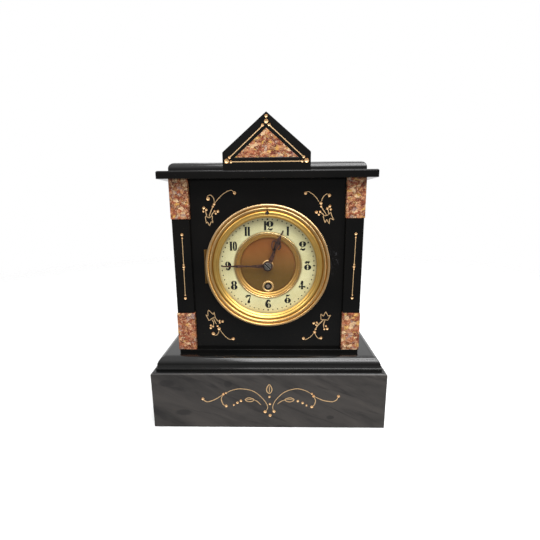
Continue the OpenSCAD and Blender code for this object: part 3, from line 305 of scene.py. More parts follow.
def honed_slate():
    """The base's duller slate: grey with slanting veins, oval stains and fine grain. Its top ledge is near
    black, partly its own polish and partly painted shade against the lamps above.
    """
    f = Finish("honed_slate", specular=0.4)
    vein = f.noise(1, 5, 0.62, 0.8, f.stretched((12, 12, 52), (0, math.radians(-26), 0)))
    base = f.ramp(vein, [(0.3, (0.026, 0.024, 0.023)), (0.5, (0.046, 0.0415, 0.039)),
                         (0.72, (0.064, 0.057, 0.052))])
    streak = f.noise(1, 4, 0.6, 1.2, f.stretched((16, 16, 120), (0, math.radians(-22), 0)))
    base = f.over(base, f.spread(streak, 0.56, 0.68), 0.6, (0.012, 0.011, 0.012))
    for x, z, half_wide, half_tall in ((-104, 50, 11, 5), (-41, 49.5, 5.5, 5), (-88, 17, 11, 4.5),
                                       (64, 12, 5, 3)):
        stain = f.plus(f.nearness(Vector((x, 0, z)) * MM, half_wide, half_tall),
                       f.times(f.noise(420, 3), 0.3))
        base = f.over(base, f.spread(stain, 0.28, 0.55), 0.6, (0.014, 0.013, 0.0135))
    base = f.over(base, f.spread(f.noise(1300, 2, 0.7), 0.72, 0.8), 0.35, (0.12, 0.11, 0.1))
    top = high("base_slab").z
    # Painted shade: the top ledge is darkened near black against the light from above, and made a little
    # smoother for its polish.
    ledge_shade_and_polish = f.spread(f.along("Z"), top - 0.0007, top - 0.0004)
    base = f.over(base, ledge_shade_and_polish, 0.95, (0.003, 0.003, 0.003))
    rough = f.math("SUBTRACT", f.wander(28, 4, 0.36, 0.52, 0.6), f.times(ledge_shade_and_polish, 0.2))
    height = f.plus(f.noise(90, 4, 0.6), f.times(f.noise(1600, 2), 0.4))
    return f.end(base, rough, height, 0.00012, 0.3)


def sawn_slate():
    """The unseen back of the case: slate left from the saw, grey with level marks."""
    f = Finish("sawn_slate", specular=0.3)
    marks = f.noise(1, 4, 0.6, 0.2, f.stretched((20, 20, 420)))
    base = f.ramp(marks, [(0.3, (0.03, 0.029, 0.028)), (0.7, (0.055, 0.052, 0.05))])
    base = f.over(base, f.spread(f.noise(25, 4, 0.6), 0.5, 0.75), 0.3, (0.13, 0.12, 0.11))
    return f.end(base, f.spread(marks, 0.3, 0.7, 0.55, 0.75), marks, 0.0002, 0.5)


def red_marble():
    """Polished breccia: torn patches of red brown, cream, ochre and grey, broken small, with dark seams."""
    f = Finish("red_marble", roughness=0.16, specular=0.4)
    warp = f.noise(260, 5, 0.7, out="Color")
    shift = f.add("ShaderNodeVectorMath", 0, {"operation": "SCALE"}, in_0=warp, Scale=0.008)
    torn = f.vector("ADD", f.place, shift)
    tilted = f.add("ShaderNodeMapping", Vector=torn, Scale=(1.0, 1.0, 1.6), Rotation=(0.3, 0.7, 0.2))
    dark, wine, brown = (0.035, 0.008, 0.006), (0.11, 0.018, 0.012), (0.24, 0.06, 0.03)
    red, rose, cream = (0.4, 0.11, 0.05), (0.58, 0.28, 0.14), (0.86, 0.62, 0.36)
    ochre, grey = (0.7, 0.4, 0.09), (0.34, 0.26, 0.24)
    large = f.add("ShaderNodeSeparateColor", "Red", Color=f.cells(270, tilted, out="Color"))
    colour = f.ramp(large, [(0.0, wine), (0.17, brown), (0.4, red), (0.6, rose), (0.76, cream), (0.86, ochre),
                            (0.93, grey)], "CONSTANT")
    small = f.add("ShaderNodeSeparateColor", "Green", Color=f.cells(760, tilted, out="Color"))
    mottled = f.ramp(small, [(0.0, dark), (0.13, wine), (0.32, brown), (0.52, red), (0.68, rose),
                             (0.82, cream), (0.94, ochre)], "CONSTANT")
    colour = f.mix(0.42, colour, mottled)
    seam = f.spread(f.cells(270, tilted, "DISTANCE_TO_EDGE"), 0.0, 0.1, 1.0, 0.0)
    seam = f.times(seam, f.spread(f.noise(240, 3), 0.42, 0.58))
    colour = f.over(colour, seam, 0.9, (0.045, 0.009, 0.007))
    colour = f.over(colour, f.spread(f.noise(120, 5, 0.75, 2.2), 0.58, 0.64), 0.6, (0.7, 0.46, 0.22))
    colour = f.over(colour, f.spread(f.noise(900, 2, 0.6), 0.4, 0.32), 0.8, dark)
    return f.end(colour, f.wander(400, 3, 0.12, 0.3), f.noise(500, 3), 0.00005, 0.2)


def bezel_brass():
    """Lacquered brass: golden on the inner band, browner in the grooves and tan on the milled edge. The last
    tint, past the ring's rim, is painted shade on the hinge.
    """
    f = Finish("bezel_brass", roughness=0.3, metallic=1.0, coat=0.35, coat_roughness=0.2)
    gold, brown, deep = (0.9, 0.57, 0.15), (0.55, 0.27, 0.045), (0.68, 0.38, 0.08)
    tan, pale, rosy = (0.66, 0.42, 0.16), (0.78, 0.56, 0.27), (0.78, 0.52, 0.26)
    # Painted shade: the tint past the ring's rim darkens the hinge knuckle and the case ring's hinge as if in
    # shadow.
    hinge_shade = (0.3, 0.17, 0.05)
    tints = ((48.9, brown), (49.6, deep), (50.2, gold), (51.2, gold), (51.5, deep), (51.9, gold),
             (53.8, gold), (54.4, deep), (55.0, brown), (55.6, brown), (56.2, tan), (57.4, tan),
             (57.9, pale), (58.5, tan), (58.9, brown), (59.3, brown), (59.8, tan), (60.6, rosy),
             (61.9, rosy), (62.4, hinge_shade))
    reach = 70
    ring = f.ramp(f.math("DIVIDE", f.radius(DIAL), reach * MM), [(mm / reach, tint) for mm, tint in tints])
    colour = f.over(ring, f.spread(f.noise(70, 5, 0.65), 0.45, 0.75), 0.25, (0.42, 0.25, 0.07))
    spots = f.spread(f.noise(480, 3, 0.6), 0.68, 0.74)
    colour = f.over(colour, spots, 0.3, (0.25, 0.14, 0.05))
    rough = f.plus(f.wander(120, 4, 0.3, 0.4), f.times(spots, 0.15))
    return f.end(colour, rough, f.turning_lines(DIAL, 0.00035), 0.00002, 0.2)


def movement_brass(name="movement_brass", tone=(0.64, 0.45, 0.19), grain=(900, 900, 40)):
    """Brushed and lacquered brass with fine straight grain and a few age spots."""
    f = Finish(name, metallic=1.0)
    lines = f.noise(1, 3, 0.6, 0.0, f.stretched(grain))
    colour = f.mix(f.spread(lines, 0.3, 0.7), tuple(c * 0.62 for c in tone), tone)
    colour = f.over(colour, f.spread(f.noise(260, 4, 0.65), 0.6, 0.72), 0.5, (0.24, 0.13, 0.05))
    return f.end(colour, f.spread(lines, 0.3, 0.7, 0.22, 0.4), lines, 0.00003, 0.4)


def clean_steel(name="clean_steel", tone=(0.42, 0.42, 0.43), rough=(0.2, 0.38)):
    """Steel with fine brushing and a little brown staining."""
    f = Finish(name, metallic=1.0)
    lines = f.noise(1, 3, 0.6, 0.0, f.stretched((1400, 1400, 90)))
    colour = f.mix(f.spread(lines, 0.3, 0.7), tuple(c * 0.7 for c in tone), tone)
    colour = f.over(colour, f.spread(f.noise(180, 5, 0.65), 0.56, 0.72), 0.4, (0.16, 0.1, 0.07))
    return f.end(colour, f.spread(lines, 0.3, 0.7, *rough), lines, 0.00003, 0.35)


def turned_brass(name, centre, pitch=0.0005, tone=(0.68, 0.48, 0.2), stain=0.5, rough=(0.24, 0.36)):
    """Brass with the concentric lines of the lathe round centre."""
    f = Finish(name, metallic=1.0)
    cloud = f.spread(f.noise(80, 5, 0.6), 0.4, 0.72)
    colour = f.over(tone, cloud, stain, tuple(c * 0.5 for c in tone))
    return f.end(colour, f.wander(150, 4, *rough), f.turning_lines(centre, pitch), 0.00003, 0.3)


def aged_dish():
    """The sunken dial centre: coppery at the top and olive brown below, partly the brass's patina and partly
    a painted reflection of the room, with a dark rim.
    """
    f = Finish("aged_dish", metallic=0.75)
    # The coppery top and olive bottom are partly patina and partly a painted reflection of the room.
    patina_and_reflection_height = f.plus(f.along("Z"), f.times(f.noise(35, 3), 0.012))
    colour = f.ramp(f.spread(patina_and_reflection_height, DIAL.z - 0.02, DIAL.z + 0.035),
                    [(0.0, (0.25, 0.14, 0.028)), (0.36, (0.28, 0.15, 0.03)), (0.52, (0.42, 0.19, 0.045)),
                     (0.8, (0.52, 0.18, 0.042)), (1.0, (0.4, 0.13, 0.03))])
    streak = f.noise(1, 3, 0.5, 0.0, f.stretched((30, 30, 160)))
    colour = f.over(colour, f.spread(streak, 0.35, 0.7), 0.15, (0.46, 0.22, 0.08))
    colour = f.over(colour, f.spread(f.noise(330, 4, 0.6), 0.62, 0.72), 0.3, (0.17, 0.08, 0.02))
    colour = f.over(colour, f.spread(f.radius(DIAL), 0.0262, 0.0284), 0.6, (0.15, 0.06, 0.012))
    return f.end(colour, f.wander(160, 4, 0.38, 0.5), f.noise(500, 3), 0.00004, 0.15)


def cream_enamel():
    """Cream glaze on the chapter ring with faint mottling, and painted shade that makes it a little darker
    and browner at both edges.
    """
    f = Finish("cream_enamel", roughness=0.25, coat=0.3)
    r = f.radius(DIAL)
    tone = f.ramp(f.noise(55, 4, 0.6), [(0.3, (0.72, 0.67, 0.35)), (0.7, (0.83, 0.79, 0.46))])
    # Painted shade: darker and browner towards both edges, beside the bezel and the raised centre ring.
    edge = f.math("MAXIMUM", f.spread(r, 0.0482, 0.0497), f.spread(r, 0.0362, 0.0346))
    tone = f.over(tone, edge, 0.5, (0.42, 0.34, 0.15))
    tone = f.over(tone, f.spread(f.noise(700, 3, 0.6), 0.68, 0.74), 0.3, (0.4, 0.33, 0.18))
    return f.end(tone, f.wander(90, 3, 0.2, 0.34), f.noise(120, 3), 0.00005, 0.2)


def dial_ink():
    """Black fired paint, slightly worn in spots."""
    f = Finish("dial_ink", roughness=0.4, specular=0.3)
    wear = f.spread(f.noise(900, 3, 0.6), 0.62, 0.8)
    return f.end(f.over((0.004, 0.004, 0.005), wear, 0.3, (0.05, 0.045, 0.04)))


def gilding():
    """Gold leaf laid in engraved lines: warm, a little dull, and thin in places."""
    f = Finish("gilding", roughness=0.42, metallic=0.55)
    worn = f.spread(f.noise(420, 4, 0.65), 0.45, 0.7)
    colour = f.over((0.86, 0.58, 0.3), worn, 0.55, (0.5, 0.3, 0.17))
    return f.end(colour, f.spread(worn, 0, 1, 0.32, 0.55), f.noise(1500, 3), 0.00005, 0.3)


def hand_steel():
    """Blued steel that has browned: near black with purple brown patches."""
    f = Finish("hand_steel", metallic=0.35, specular=0.4)
    colour = f.mix(f.spread(f.noise(300, 4, 0.6), 0.36, 0.6), (0.018, 0.01, 0.009), (0.12, 0.048, 0.03))
    return f.end(colour, f.wander(600, 3, 0.35, 0.5), f.noise(900, 3), 0.00004, 0.3)


def screw_steel():
    """The grey head of the hand screw: its slot painted dark as shade, between two bright edges that are
    partly wear and partly painted highlight, and a darker ring round its rim.
    """
    f = Finish("screw_steel", metallic=0.9)
    slant = (math.sqrt(0.5), 0, math.sqrt(0.5))
    across = f.math("ABSOLUTE", f.vector("DOT_PRODUCT", f.vector("SUBTRACT", f.place, DIAL), slant))
    colour = f.mix(f.spread(f.noise(500, 3, 0.6), 0.4, 0.65), (0.3, 0.27, 0.24), (0.12, 0.1, 0.085))
    # Painted highlight, with some wear: the slot's two bright edges.
    colour = f.mix(f.spread(across, 0.0012, 0.0009), colour, (0.78, 0.74, 0.66))
    # Painted shade: the slot itself, darkened as a recess.
    colour = f.mix(f.spread(across, 0.00078, 0.00068), colour, (0.02, 0.015, 0.012))
    colour = f.over(colour, f.spread(f.radius(DIAL), 0.0033, 0.0037), 0.7, (0.05, 0.04, 0.035))
    return f.end(colour, f.wander(400, 3, 0.3, 0.42), f.noise(900, 3), 0.00003, 0.3)


def arbor_steel():
    """The winding arbor: painted near black as shade down its well, with the end of its square in its own
    lighter steel.
    """
    f = Finish("arbor_steel", roughness=0.45, metallic=0.7)
    tip = low("barrel_arbor").y
    # Painted shade: all but the square's end is darkened near black, as down its well.
    end = f.spread(f.along("Y"), tip + 0.0006, tip + 0.0003)
    return f.end(f.mix(end, (0.012, 0.01, 0.009), (0.4, 0.32, 0.26)))


def blued_steel():
    """Screws of deep blue steel."""
    f = Finish("blued_steel", roughness=0.25, metallic=0.9)
    tone = f.mix(f.spread(f.noise(200, 3), 0.4, 0.7), (0.02, 0.035, 0.11), (0.05, 0.05, 0.08))
    return f.end(tone, f.wander(500, 3, 0.2, 0.32), f.noise(900, 2), 0.00002, 0.2)


def clear_glass():
    """The flat glass, as a thin clear sheet that keeps its gloss and a trace of dust."""
    f = Finish("clear_glass", roughness=0.03)
    f.shader.inputs["Alpha"].default_value = 0.06
    return f.end(f.ramp(f.noise(25, 4, 0.6), [(0.35, (0.03, 0.04, 0.038)), (0.75, (0.12, 0.13, 0.12))]))


SLATE = polished_slate()
MARBLE = red_marble()
BEZEL_BRASS = bezel_brass()
INK = dial_ink()
GILT = gilding()
STEEL = clean_steel()
HAND_STEEL = hand_steel()


# Modelling helpers

def only(obj):
    """Selects one object and makes it active."""
    bpy.ops.object.select_all(action="DESELECT")
    obj.select_set(True)
    bpy.context.view_layer.objects.active = obj


@contextmanager
def editing(obj):
    """Edit mode on one object, with everything selected at its start."""
    only(obj)
    bpy.ops.object.mode_set(mode="EDIT")
    bpy.ops.mesh.select_all(action="SELECT")
    yield
    bpy.ops.object.mode_set(mode="OBJECT")


def smooth(obj, degrees=35):
    """Smooth shading up to an angle between faces."""
    only(obj)
    bpy.ops.object.shade_smooth_by_angle(angle=math.radians(degrees))


def level(obj):
    """Smooth shading in which the large flat faces stay flat up to their rounded edges."""
    smooth(obj)
    modify(obj, "WEIGHTED_NORMAL", keep_sharp=True, weight=60)


def modify(obj, kind, **settings):
    """Adds a modifier and applies it."""
    only(obj)
    bpy.ops.object.modifier_add(type=kind)
    modifier = obj.modifiers[-1]
    for key, value in settings.items():
        setattr(modifier, key, value)
    bpy.ops.object.modifier_apply(modifier=modifier.name)


def apply_place(obj):
    """Puts the object's place, turn and scale into its mesh."""
    only(obj)
    bpy.ops.object.transform_apply(location=True, rotation=True, scale=True)


def join(parts, name):
    """Joins mesh objects into one with a new name."""
    only(parts[0])
    for part in parts[1:]:
        part.select_set(True)
    if len(parts) > 1:
        bpy.ops.object.join()
    whole = bpy.context.view_layer.objects.active
    whole.name = whole.data.name = name
    return whole


def finish_piece(obj, name, material, body, replaces=()):
    """Gives a finished piece its name, material, body and slot, and the nodes that it stands for."""
    obj.name = obj.data.name = name
    obj.data.materials.clear()
    obj.data.materials.append(material)
    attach(obj, body)
    if replaces:
        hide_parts(*replaces)
    return obj


def cut(obj, cutter):
    """Takes the cutter's shape out of obj and deletes the cutter."""
    modify(obj, "BOOLEAN", operation="DIFFERENCE", object=cutter, solver="EXACT")
    bpy.data.objects.remove(cutter)


def bore(obj, place, radius, vertices=32, length=20, turn=(math.pi / 2, 0, 0)):
    """Drills through obj, along Y if not turned otherwise. radius and length are in mm."""
    bpy.ops.mesh.primitive_cylinder_add(vertices=vertices, radius=radius * MM, depth=length * MM,
                                        location=place, rotation=turn)
    drill = bpy.context.object
    apply_place(drill)
    cut(obj, drill)


def box(place, size, turn=(0, 0, 0)):
    """A box about place. size is in mm."""
    bpy.ops.mesh.primitive_cube_add(size=1, location=place, rotation=turn)
    block = bpy.context.object
    block.scale = [side * MM for side in size]
    apply_place(block)
    return block


def arc(centre, r, start, end, count=8):
    """Points of an arc, in degrees. On a section, 0 points outwards and -90 to the front."""
    angles = [math.radians(start + (end - start) * i / count) for i in range(count + 1)]
    return [(centre[0] + r * math.cos(a), centre[1] + r * math.sin(a)) for a in angles]


def turned(section, centre, steps=192):
    """A piece turned about the Y line through centre. section is a closed loop of (radius, y) in mm."""
    bpy.ops.mesh.primitive_circle_add(vertices=len(section), radius=0.01, fill_type="NOTHING")
    obj = bpy.context.object
    for vertex, (radius, depth) in zip(obj.data.vertices, section):
        vertex.co = (centre.x + radius * MM, depth * MM, centre.z)
    obj.location = (0, 0, 0)
    with editing(obj):
        bpy.ops.mesh.spin(steps=steps, angle=2 * math.pi, center=(centre.x, 0, centre.z), axis=(0, 1, 0))
        bpy.ops.mesh.select_all(action="SELECT")
        bpy.ops.mesh.remove_doubles(threshold=1e-6)
        bpy.ops.mesh.dissolve_degenerate(threshold=1e-7)
        bpy.ops.mesh.normals_make_consistent(inside=False)
    smooth(obj)
    return obj


def smooth_path(points, per_span=5, closed=False):
    """A soft curve through all the points, which are tuples of any length."""
    count = len(points)

    def point(i):
        return points[i % count] if closed else points[min(max(i, 0), count - 1)]

    path = []
    for i in range(count if closed else count - 1):
        near = [point(i + k) for k in (-1, 0, 1, 2)]
        for step in range(per_span):
            t = step / per_span
            path.append(tuple(0.5 * (2 * b + (c - a) * t + (2 * a - 5 * b + 4 * c - d) * t * t
                                     + (3 * b - a - 3 * c + d) * t ** 3) for a, b, c, d in zip(*near)))
    if not closed:
        path.append(tuple(points[-1]))
    return path


def ribbon(path, y, thickness, closed=False):
    """A flat strip in the front view. path holds (x, z, half width) in mm, y is its front in mm."""
    count = len(path)
    bpy.ops.mesh.primitive_grid_add(x_subdivisions=count if closed else count - 1, y_subdivisions=1, size=1)
    obj = bpy.context.object
    columns = sorted(obj.data.vertices, key=lambda v: (round(v.co.x, 6), v.co.y))
    for i in range(len(columns) // 2):
        x, z, half = path[i % count]
        before = path[(i - 1) % count] if closed or i > 0 else path[0]
        after = path[(i + 1) % count] if closed or i < count - 1 else path[-1]
        along = Vector((after[0] - before[0], after[1] - before[1])).normalized()
        for side, reach in enumerate((half, -half)):
            columns[2 * i + side].co = Vector((x + along.y * reach, 0, z - along.x * reach)) * MM
    with editing(obj):
        bpy.ops.mesh.remove_doubles(threshold=1e-7)
        bpy.ops.mesh.extrude_region_move(TRANSFORM_OT_translate={"value": (0, thickness * MM, 0)})
        bpy.ops.mesh.select_all(action="SELECT")
        bpy.ops.transform.translate(value=(0, y * MM, 0))
        bpy.ops.mesh.normals_make_consistent(inside=False)
    return obj


def dimple(x, z, radius, y, across=1.0, depth=0.53):
    """A flattened ball with its middle on the face at y, in mm: the cutter of one dimple."""
    bpy.ops.mesh.primitive_uv_sphere_add(segments=20, ring_count=10, radius=radius * MM,
                                         location=(x * MM, y * MM, z * MM), rotation=(math.pi / 2, 0, 0))
    ball = bpy.context.object
    ball.scale = (across, across, depth)
    apply_place(ball)
    return ball


def bowl(x, z, radius, y):
    """The gilt lining of a dimple, open to the front, in mm."""
    obj = dimple(x, z, radius, y, 0.97, 0.5)
    with editing(obj):
        bpy.ops.mesh.bisect(plane_co=(0, y * MM, 0), plane_no=(0, 1, 0), clear_inner=True, clear_outer=False)
        bpy.ops.mesh.select_all(action="SELECT")
        bpy.ops.mesh.flip_normals()
    smooth(obj, 60)
    return obj


def node_copy(node, name):
    """A new object with a copy of a node's mesh."""
    obj = bpy.data.objects.new(name, nodes[node].data.copy())
    bpy.context.scene.collection.objects.link(obj)
    return obj


# Case

def softened(node, width, material=SLATE):
    """A slab with its arrises worn round: the node's shape as clean faces with bevelled edges."""
    name = node + "_dressed"
    obj = node_copy(node, name)
    with editing(obj):
        bpy.ops.mesh.remove_doubles(threshold=1e-6)
        bpy.ops.mesh.dissolve_limited(angle_limit=math.radians(3))
    modify(obj, "BEVEL", width=width * MM, segments=3, limit_method="ANGLE", angle_limit=math.radians(32))
    level(obj)
    return finish_piece(obj, name, material, "case", [node])


def gild(slab, ornaments, y, name, thickness=0.1):
    """Draws gilt lines on a slab's face at y, and drills its gilt dimples. An ornament is (lines, dots)."""
    lines = [path for ornament_lines, _ in ornaments for path in ornament_lines]
    dots = [dot for _, ornament_dots in ornaments for dot in ornament_dots]
    cut(slab, join([dimple(x, z, r, y) for x, z, r in dots], "drills"))
    level(slab)
    parts = [bowl(x, z, r, y) for x, z, r in dots]
    parts += [ribbon(path, y - thickness, thickness + 0.05, closed) for path, closed in lines]
    finish_piece(join(parts, name), name, GILT, "case")


def line(points, half=0.34):
    """An open gilt curve through points, thinner at its ends."""
    last = len(points) - 1
    return smooth_path([(x, z, half * (0.6 if i in (0, last) else 1)) for i,
                        (x, z) in enumerate(points)]), False


def loop(points, half=0.4):
    """A closed gilt curve through points."""
    return smooth_path([(x, z, half) for x, z in points], closed=True), True


def straight(start, end, half):
    """A straight gilt line."""
    return [(*start, half), (*end, half)], False


def leaf_outline(points, half=0.32):
    """A pointed leaf drawn as a thin closed line, with its straight sides kept straight."""
    return [([(x0, z0, half), ((x0 + x1) / 2, (z0 + z1) / 2, half * 1.15), (x1, z1, half * 0.8)], False)
            for (x0, z0), (x1, z1) in zip(points, points[1:] + points[:1])]


def upper_left_spray():
    """The engraved spray above the dial, left: two arms, two clusters of berries and a leaf."""
    lines = [line([(-52, 230), (-48.5, 234), (-44.5, 238), (-40, 241), (-35.5, 242.5), (-32.5, 241)]),
             line([(-52, 230.5), (-53, 235.5), (-55.5, 238), (-58, 237.5), (-59, 235.5)]),
             line([(-53.8, 226.9), (-55.7, 222.9), (-58, 217.2)], 0.48),
             line([(-61.2, 222.5), (-60.7, 220.2), (-60.4, 217.4)], 0.45),
             line([(-52.3, 222.4), (-54.5, 220.1), (-55.7, 217.4)], 0.42)]
    lines += leaf_outline([(-61.7, 217.5), (-61.5, 214.7), (-60.9, 210.6), (-59.8, 212.2), (-57.9, 208),
                           (-56.2, 212.2), (-54.2, 211.2), (-55, 214.2), (-54.4, 217.9), (-56, 217),
                           (-58.1, 216.1), (-60.4, 217.1)])
    dots = [(-32, 239.8, 1.6), (-58.2, 234.5, 1.8), (-52.4, 229.3, 1.3), (-53.8, 227, 1.1),
            (-62.8, 225.7, 1.4), (-60.4, 223.9, 1.2), (-63.4, 222.4, 1), (-52.3, 222.6, 1),
            (-49, 222.3, 1.3), (-51.2, 220.2, 1)]
    return lines, dots


def upper_right_spray():
    """The engraved spray above the dial, right."""
    lines = [line([(50.9, 230.6), (48.4, 234.1), (45.6, 237.1), (42.8, 239.2), (40.4, 240.6), (38.4, 240)]),
             line([(53, 231.2), (54.1, 234.3), (55.7, 236.6), (57.8, 238.1), (59.8, 237.9)]),
             line([(53.2, 225.8), (55.8, 221.9), (58.1, 218.5)], 0.42),
             line([(52.4, 220.6), (54.8, 219), (55.9, 217.3)], 0.48),
             line([(59.4, 223.6), (60.2, 220.6), (60.4, 218.4)], 0.45)]
    lines += leaf_outline([(55, 217.3), (56, 213.5), (57.2, 210.3), (58.4, 213.9), (61.3, 209.3), (61.3, 214),
                           (62.5, 214.8), (65.6, 213), (63.5, 217.3), (62.5, 220.7), (59.8, 218.1),
                           (56.8, 217.3)])
    dots = [(37.5, 239, 1.5), (60.7, 236.8, 1.6), (52.6, 229.5, 1.5), (52.9, 226.4, 1.1), (48.4, 220.8, 1.4),
            (51.9, 221.4, 1.1), (50.9, 218.6, 1.1), (61.3, 226.4, 1.3), (59, 224.4, 1.2), (62.3, 223.5, 1.1)]
    return lines, dots


def lower_left_spray():
    """The engraved spray below the dial, left."""
    lines = [line([(-51.8, 98.4), (-48.7, 93.7), (-45.5, 90), (-41.9, 87.3), (-38.9, 87.2)]),
             line([(-52.5, 98.2), (-53.6, 94.2), (-56.2, 91.8), (-58.4, 92.6)]),
             line([(-57.9, 110.8), (-56.6, 107.3), (-55.1, 104.5)], 0.42),
             line([(-59.9, 109.6), (-58.1, 106.3), (-58.5, 102.6)], 0.42),
             line([(-56, 111.6), (-54.1, 108.6), (-52.1, 107.3)], 0.45)]
    lines += leaf_outline([(-66.2, 115.1), (-63.6, 113.4), (-63.8, 117.2), (-63, 120.3), (-60.4, 117.4),
                           (-58, 115.1), (-57, 118), (-56.5, 114.1), (-56.1, 111.5), (-57.9, 111.9),
                           (-60.4, 110.4), (-62.7, 108.2)])
    dots = [(-37.8, 87.9, 1.6), (-58.8, 93.8, 1.7), (-52.5, 99.3, 1.7), (-54, 102.3, 1), (-51.7, 108.3, 1),
            (-48.5, 107.5, 1.3), (-51.5, 106.3, 1), (-61.2, 103.1, 1.1), (-58.9, 101.9, 1),
            (-61.3, 100.2, 1.3)]
    return lines, dots


def lower_right_spray():
    """The engraved spray below the dial, right."""
    lines = [line([(48.6, 94.9), (45.5, 90.9), (42.6, 88.7), (39.9, 87.1), (38, 87.6)]),
             line([(49.7, 94.8), (50.2, 92.2), (52.1, 89.6), (54.2, 88.1), (55.6, 88.4)]),
             line([(50, 98.6), (51.8, 102.6), (54.7, 105.7), (57.9, 108.8)], 0.6),
             line([(50.8, 105.6), (52.6, 105), (54, 105)], 0.4),
             line([(59.6, 108.6), (58.4, 104.5), (58.7, 100.4)], 0.5)]
    lines += leaf_outline([(55.5, 109.3), (55.3, 112.3), (55.1, 115.8), (58, 113.2), (58.6, 114.9),
                           (60.3, 118.2), (62.2, 114.6), (62.9, 113.4), (65.7, 114.5), (63.8, 111.6),
                           (62.6, 108.8), (59, 109.3)])
    dots = [(37.4, 88.5, 1.6), (55.9, 88.9, 1.5), (49.1, 95.7, 1.5), (50, 98.7, 1), (48, 105.5, 1.3),
            (51.1, 106.4, 1), (50.4, 103.6, 1), (60.9, 102.3, 1.1), (59.4, 99, 1.1), (62.4, 99.3, 1.3)]
    return lines, dots


def base_left_scroll():
    """The left half of the scroll engraved on the base: two arms, a bud on its stem, and dots."""
    lines = [line([(-67, 32.3), (-65.4, 30.2), (-62.3, 29.4), (-55, 32), (-46.6, 37.6)], 0.42),
             line([(-43.6, 39.3), (-36.1, 42.9), (-26.8, 44.2), (-14.2, 41), (-4.1, 31.1), (-0.7, 23.6),
                   (-2.4, 19.4)]),
             line([(-46.4, 37.4), (-48.4, 32.6), (-46.9, 26.8), (-44.4, 24.8)], 0.42),
             line([(-14.7, 31.7), (-11.7, 30.2), (-7.5, 26)], 0.42),
             loop([(-23.8, 31.8), (-20.6, 34), (-16.4, 33.2), (-14.8, 31.9), (-16.6, 30.2), (-20.6, 29.8)]),
             line([(-22.6, 31.9), (-19, 32.2), (-16, 31.9)], 0.3)]
    dots = [(-67.4, 32.6, 1.5), (-46.2, 38, 1.4), (-43.4, 39.4, 1.1), (-3.4, 18.2, 1.6), (-43.6, 24.7, 1.5),
            (-35.6, 25.8, 1), (-31.9, 28.5, 1.3), (-28.2, 30.6, 1.3)]
    return lines, dots


def base_right_scroll():
    """The right half of the scroll on the base."""
    lines = [line([(71.4, 36), (70, 32.4), (66.8, 30.4), (63.7, 30.2), (56, 31.6), (46.9, 36)], 0.42),
             line([(44.6, 38.6), (37.5, 42.6), (28.3, 44.5), (16.5, 40.6), (7.6, 31.6), (4.5, 24.2),
                   (5.2, 20)]),
             line([(46.4, 35.8), (48.3, 31.4), (47.4, 26.8), (45.5, 24.6)], 0.42),
             line([(16.8, 31.8), (12.8, 30), (9.4, 27.1)], 0.42),
             loop([(26.4, 32.2), (23, 34.2), (19, 33.4), (17, 32), (19, 30.2), (23, 29.8)]),
             line([(25, 32.2), (21.6, 32.4), (18.4, 32)], 0.3)]
    dots = [(71.7, 36.4, 1.5), (46.4, 36.3, 1.4), (44.5, 38.9, 1.1), (5.8, 18.7, 1.6), (44.7, 24.1, 1.5),
            (39.2, 25.8, 1), (35.2, 28.5, 1.3), (30.3, 30.6, 1.3)]
    return lines, dots


def base_middle():
    """The upright leaf and dots in the middle of the base."""
    lines = [loop([(1.1, 49), (3.6, 45), (3.4, 41.3), (1.1, 39.3), (-1.3, 41.3), (-1.5, 45)], 0.45),
             line([(1.1, 47.5), (1.2, 44), (1.1, 40.5)], 0.35)]
    return lines, [(1.2, 35.3, 1.2), (1.6, 27.1, 1.2), (1.8, 14, 1.6)]


def dress_case():
    """The slate and marble of the case, with its gilt engraving."""
    moulding_slate = polished_slate("moulding_slate", 0.6)
    for node, material in (("base_moulding", moulding_slate), ("capping_slab", moulding_slate),
                           ("sub_plinth", SLATE), ("cornice_slab", SLATE)):
        softened(node, 0.35, material)
    base = softened("base_slab", 0.5, honed_slate())
    base_y, gilt_rise = low("base_slab").y / MM, 0.1
    for vertex in base.data.vertices:
        if vertex.co.y < (base_y + 0.05) * MM:
            vertex.co.y += gilt_rise * MM
    gild(base, [base_left_scroll(), base_middle(), base_right_scroll()], base_y + gilt_rise, "base_gilding")

    panel = softened("front_panel", 0.2)
    sprays = [upper_left_spray(), upper_right_spray(), lower_left_spray(), lower_right_spray()]
    gild(panel, sprays, low("front_panel").y / MM, "panel_gilding")

    joint_x = 0.0763
    shafts = softened("pilaster_shafts", 0.4, polished_slate("worn_slate", worn_x=joint_x))
    middle = 167
    lines, dots = [], []
    for x, lean in ((-85.2, 0.2), (86.6, 0.5)):
        lines += [straight((x + s * lean * 0.2, middle + s * 3), (x + s * lean, middle + s * 29), 0.3)
                  for s in (-1, 1)]
        dots.append((x, middle, 1.3))
        dots += [(x + s * lean * d / 33, middle + s * d, r)
                 for s in (-1, 1) for d, r in ((2.4, 0.85), (29.4, 0.8), (32.8, 1.35))]
    gild(shafts, [(lines, dots)], low("pilaster_shafts").y / MM, "pilaster_gilding")

    gable = softened("pediment", 0.4)
    lines = [straight((s * 3.3, 298.6), (s * 33.6, 271.8), 0.38) for s in (-1, 1)]
    lines.append(straight((-32.2, 267.5), (32.6, 267.5), 0.38))
    dots = [(0, 306.8, 1.4), (0, 302.4, 2), (-3.4, 299.1, 1.3), (2.6, 299.3, 1.3)]
    for x, z, r in ((37, 268.2, 2.1), (34.3, 271.4, 1.3), (33, 267.5, 1.2)):
        dots += [(-x, z, r), (x, z, r)]
    gild(gable, [(lines, dots)], low("pediment").y / MM, "pediment_gilding")

    for node in ("marble_lower_left", "marble_lower_right", "marble_upper_left", "marble_upper_right"):
        softened(node, 0.3, MARBLE)
    softened("pediment_marble", 0.15, MARBLE)


# Bezel

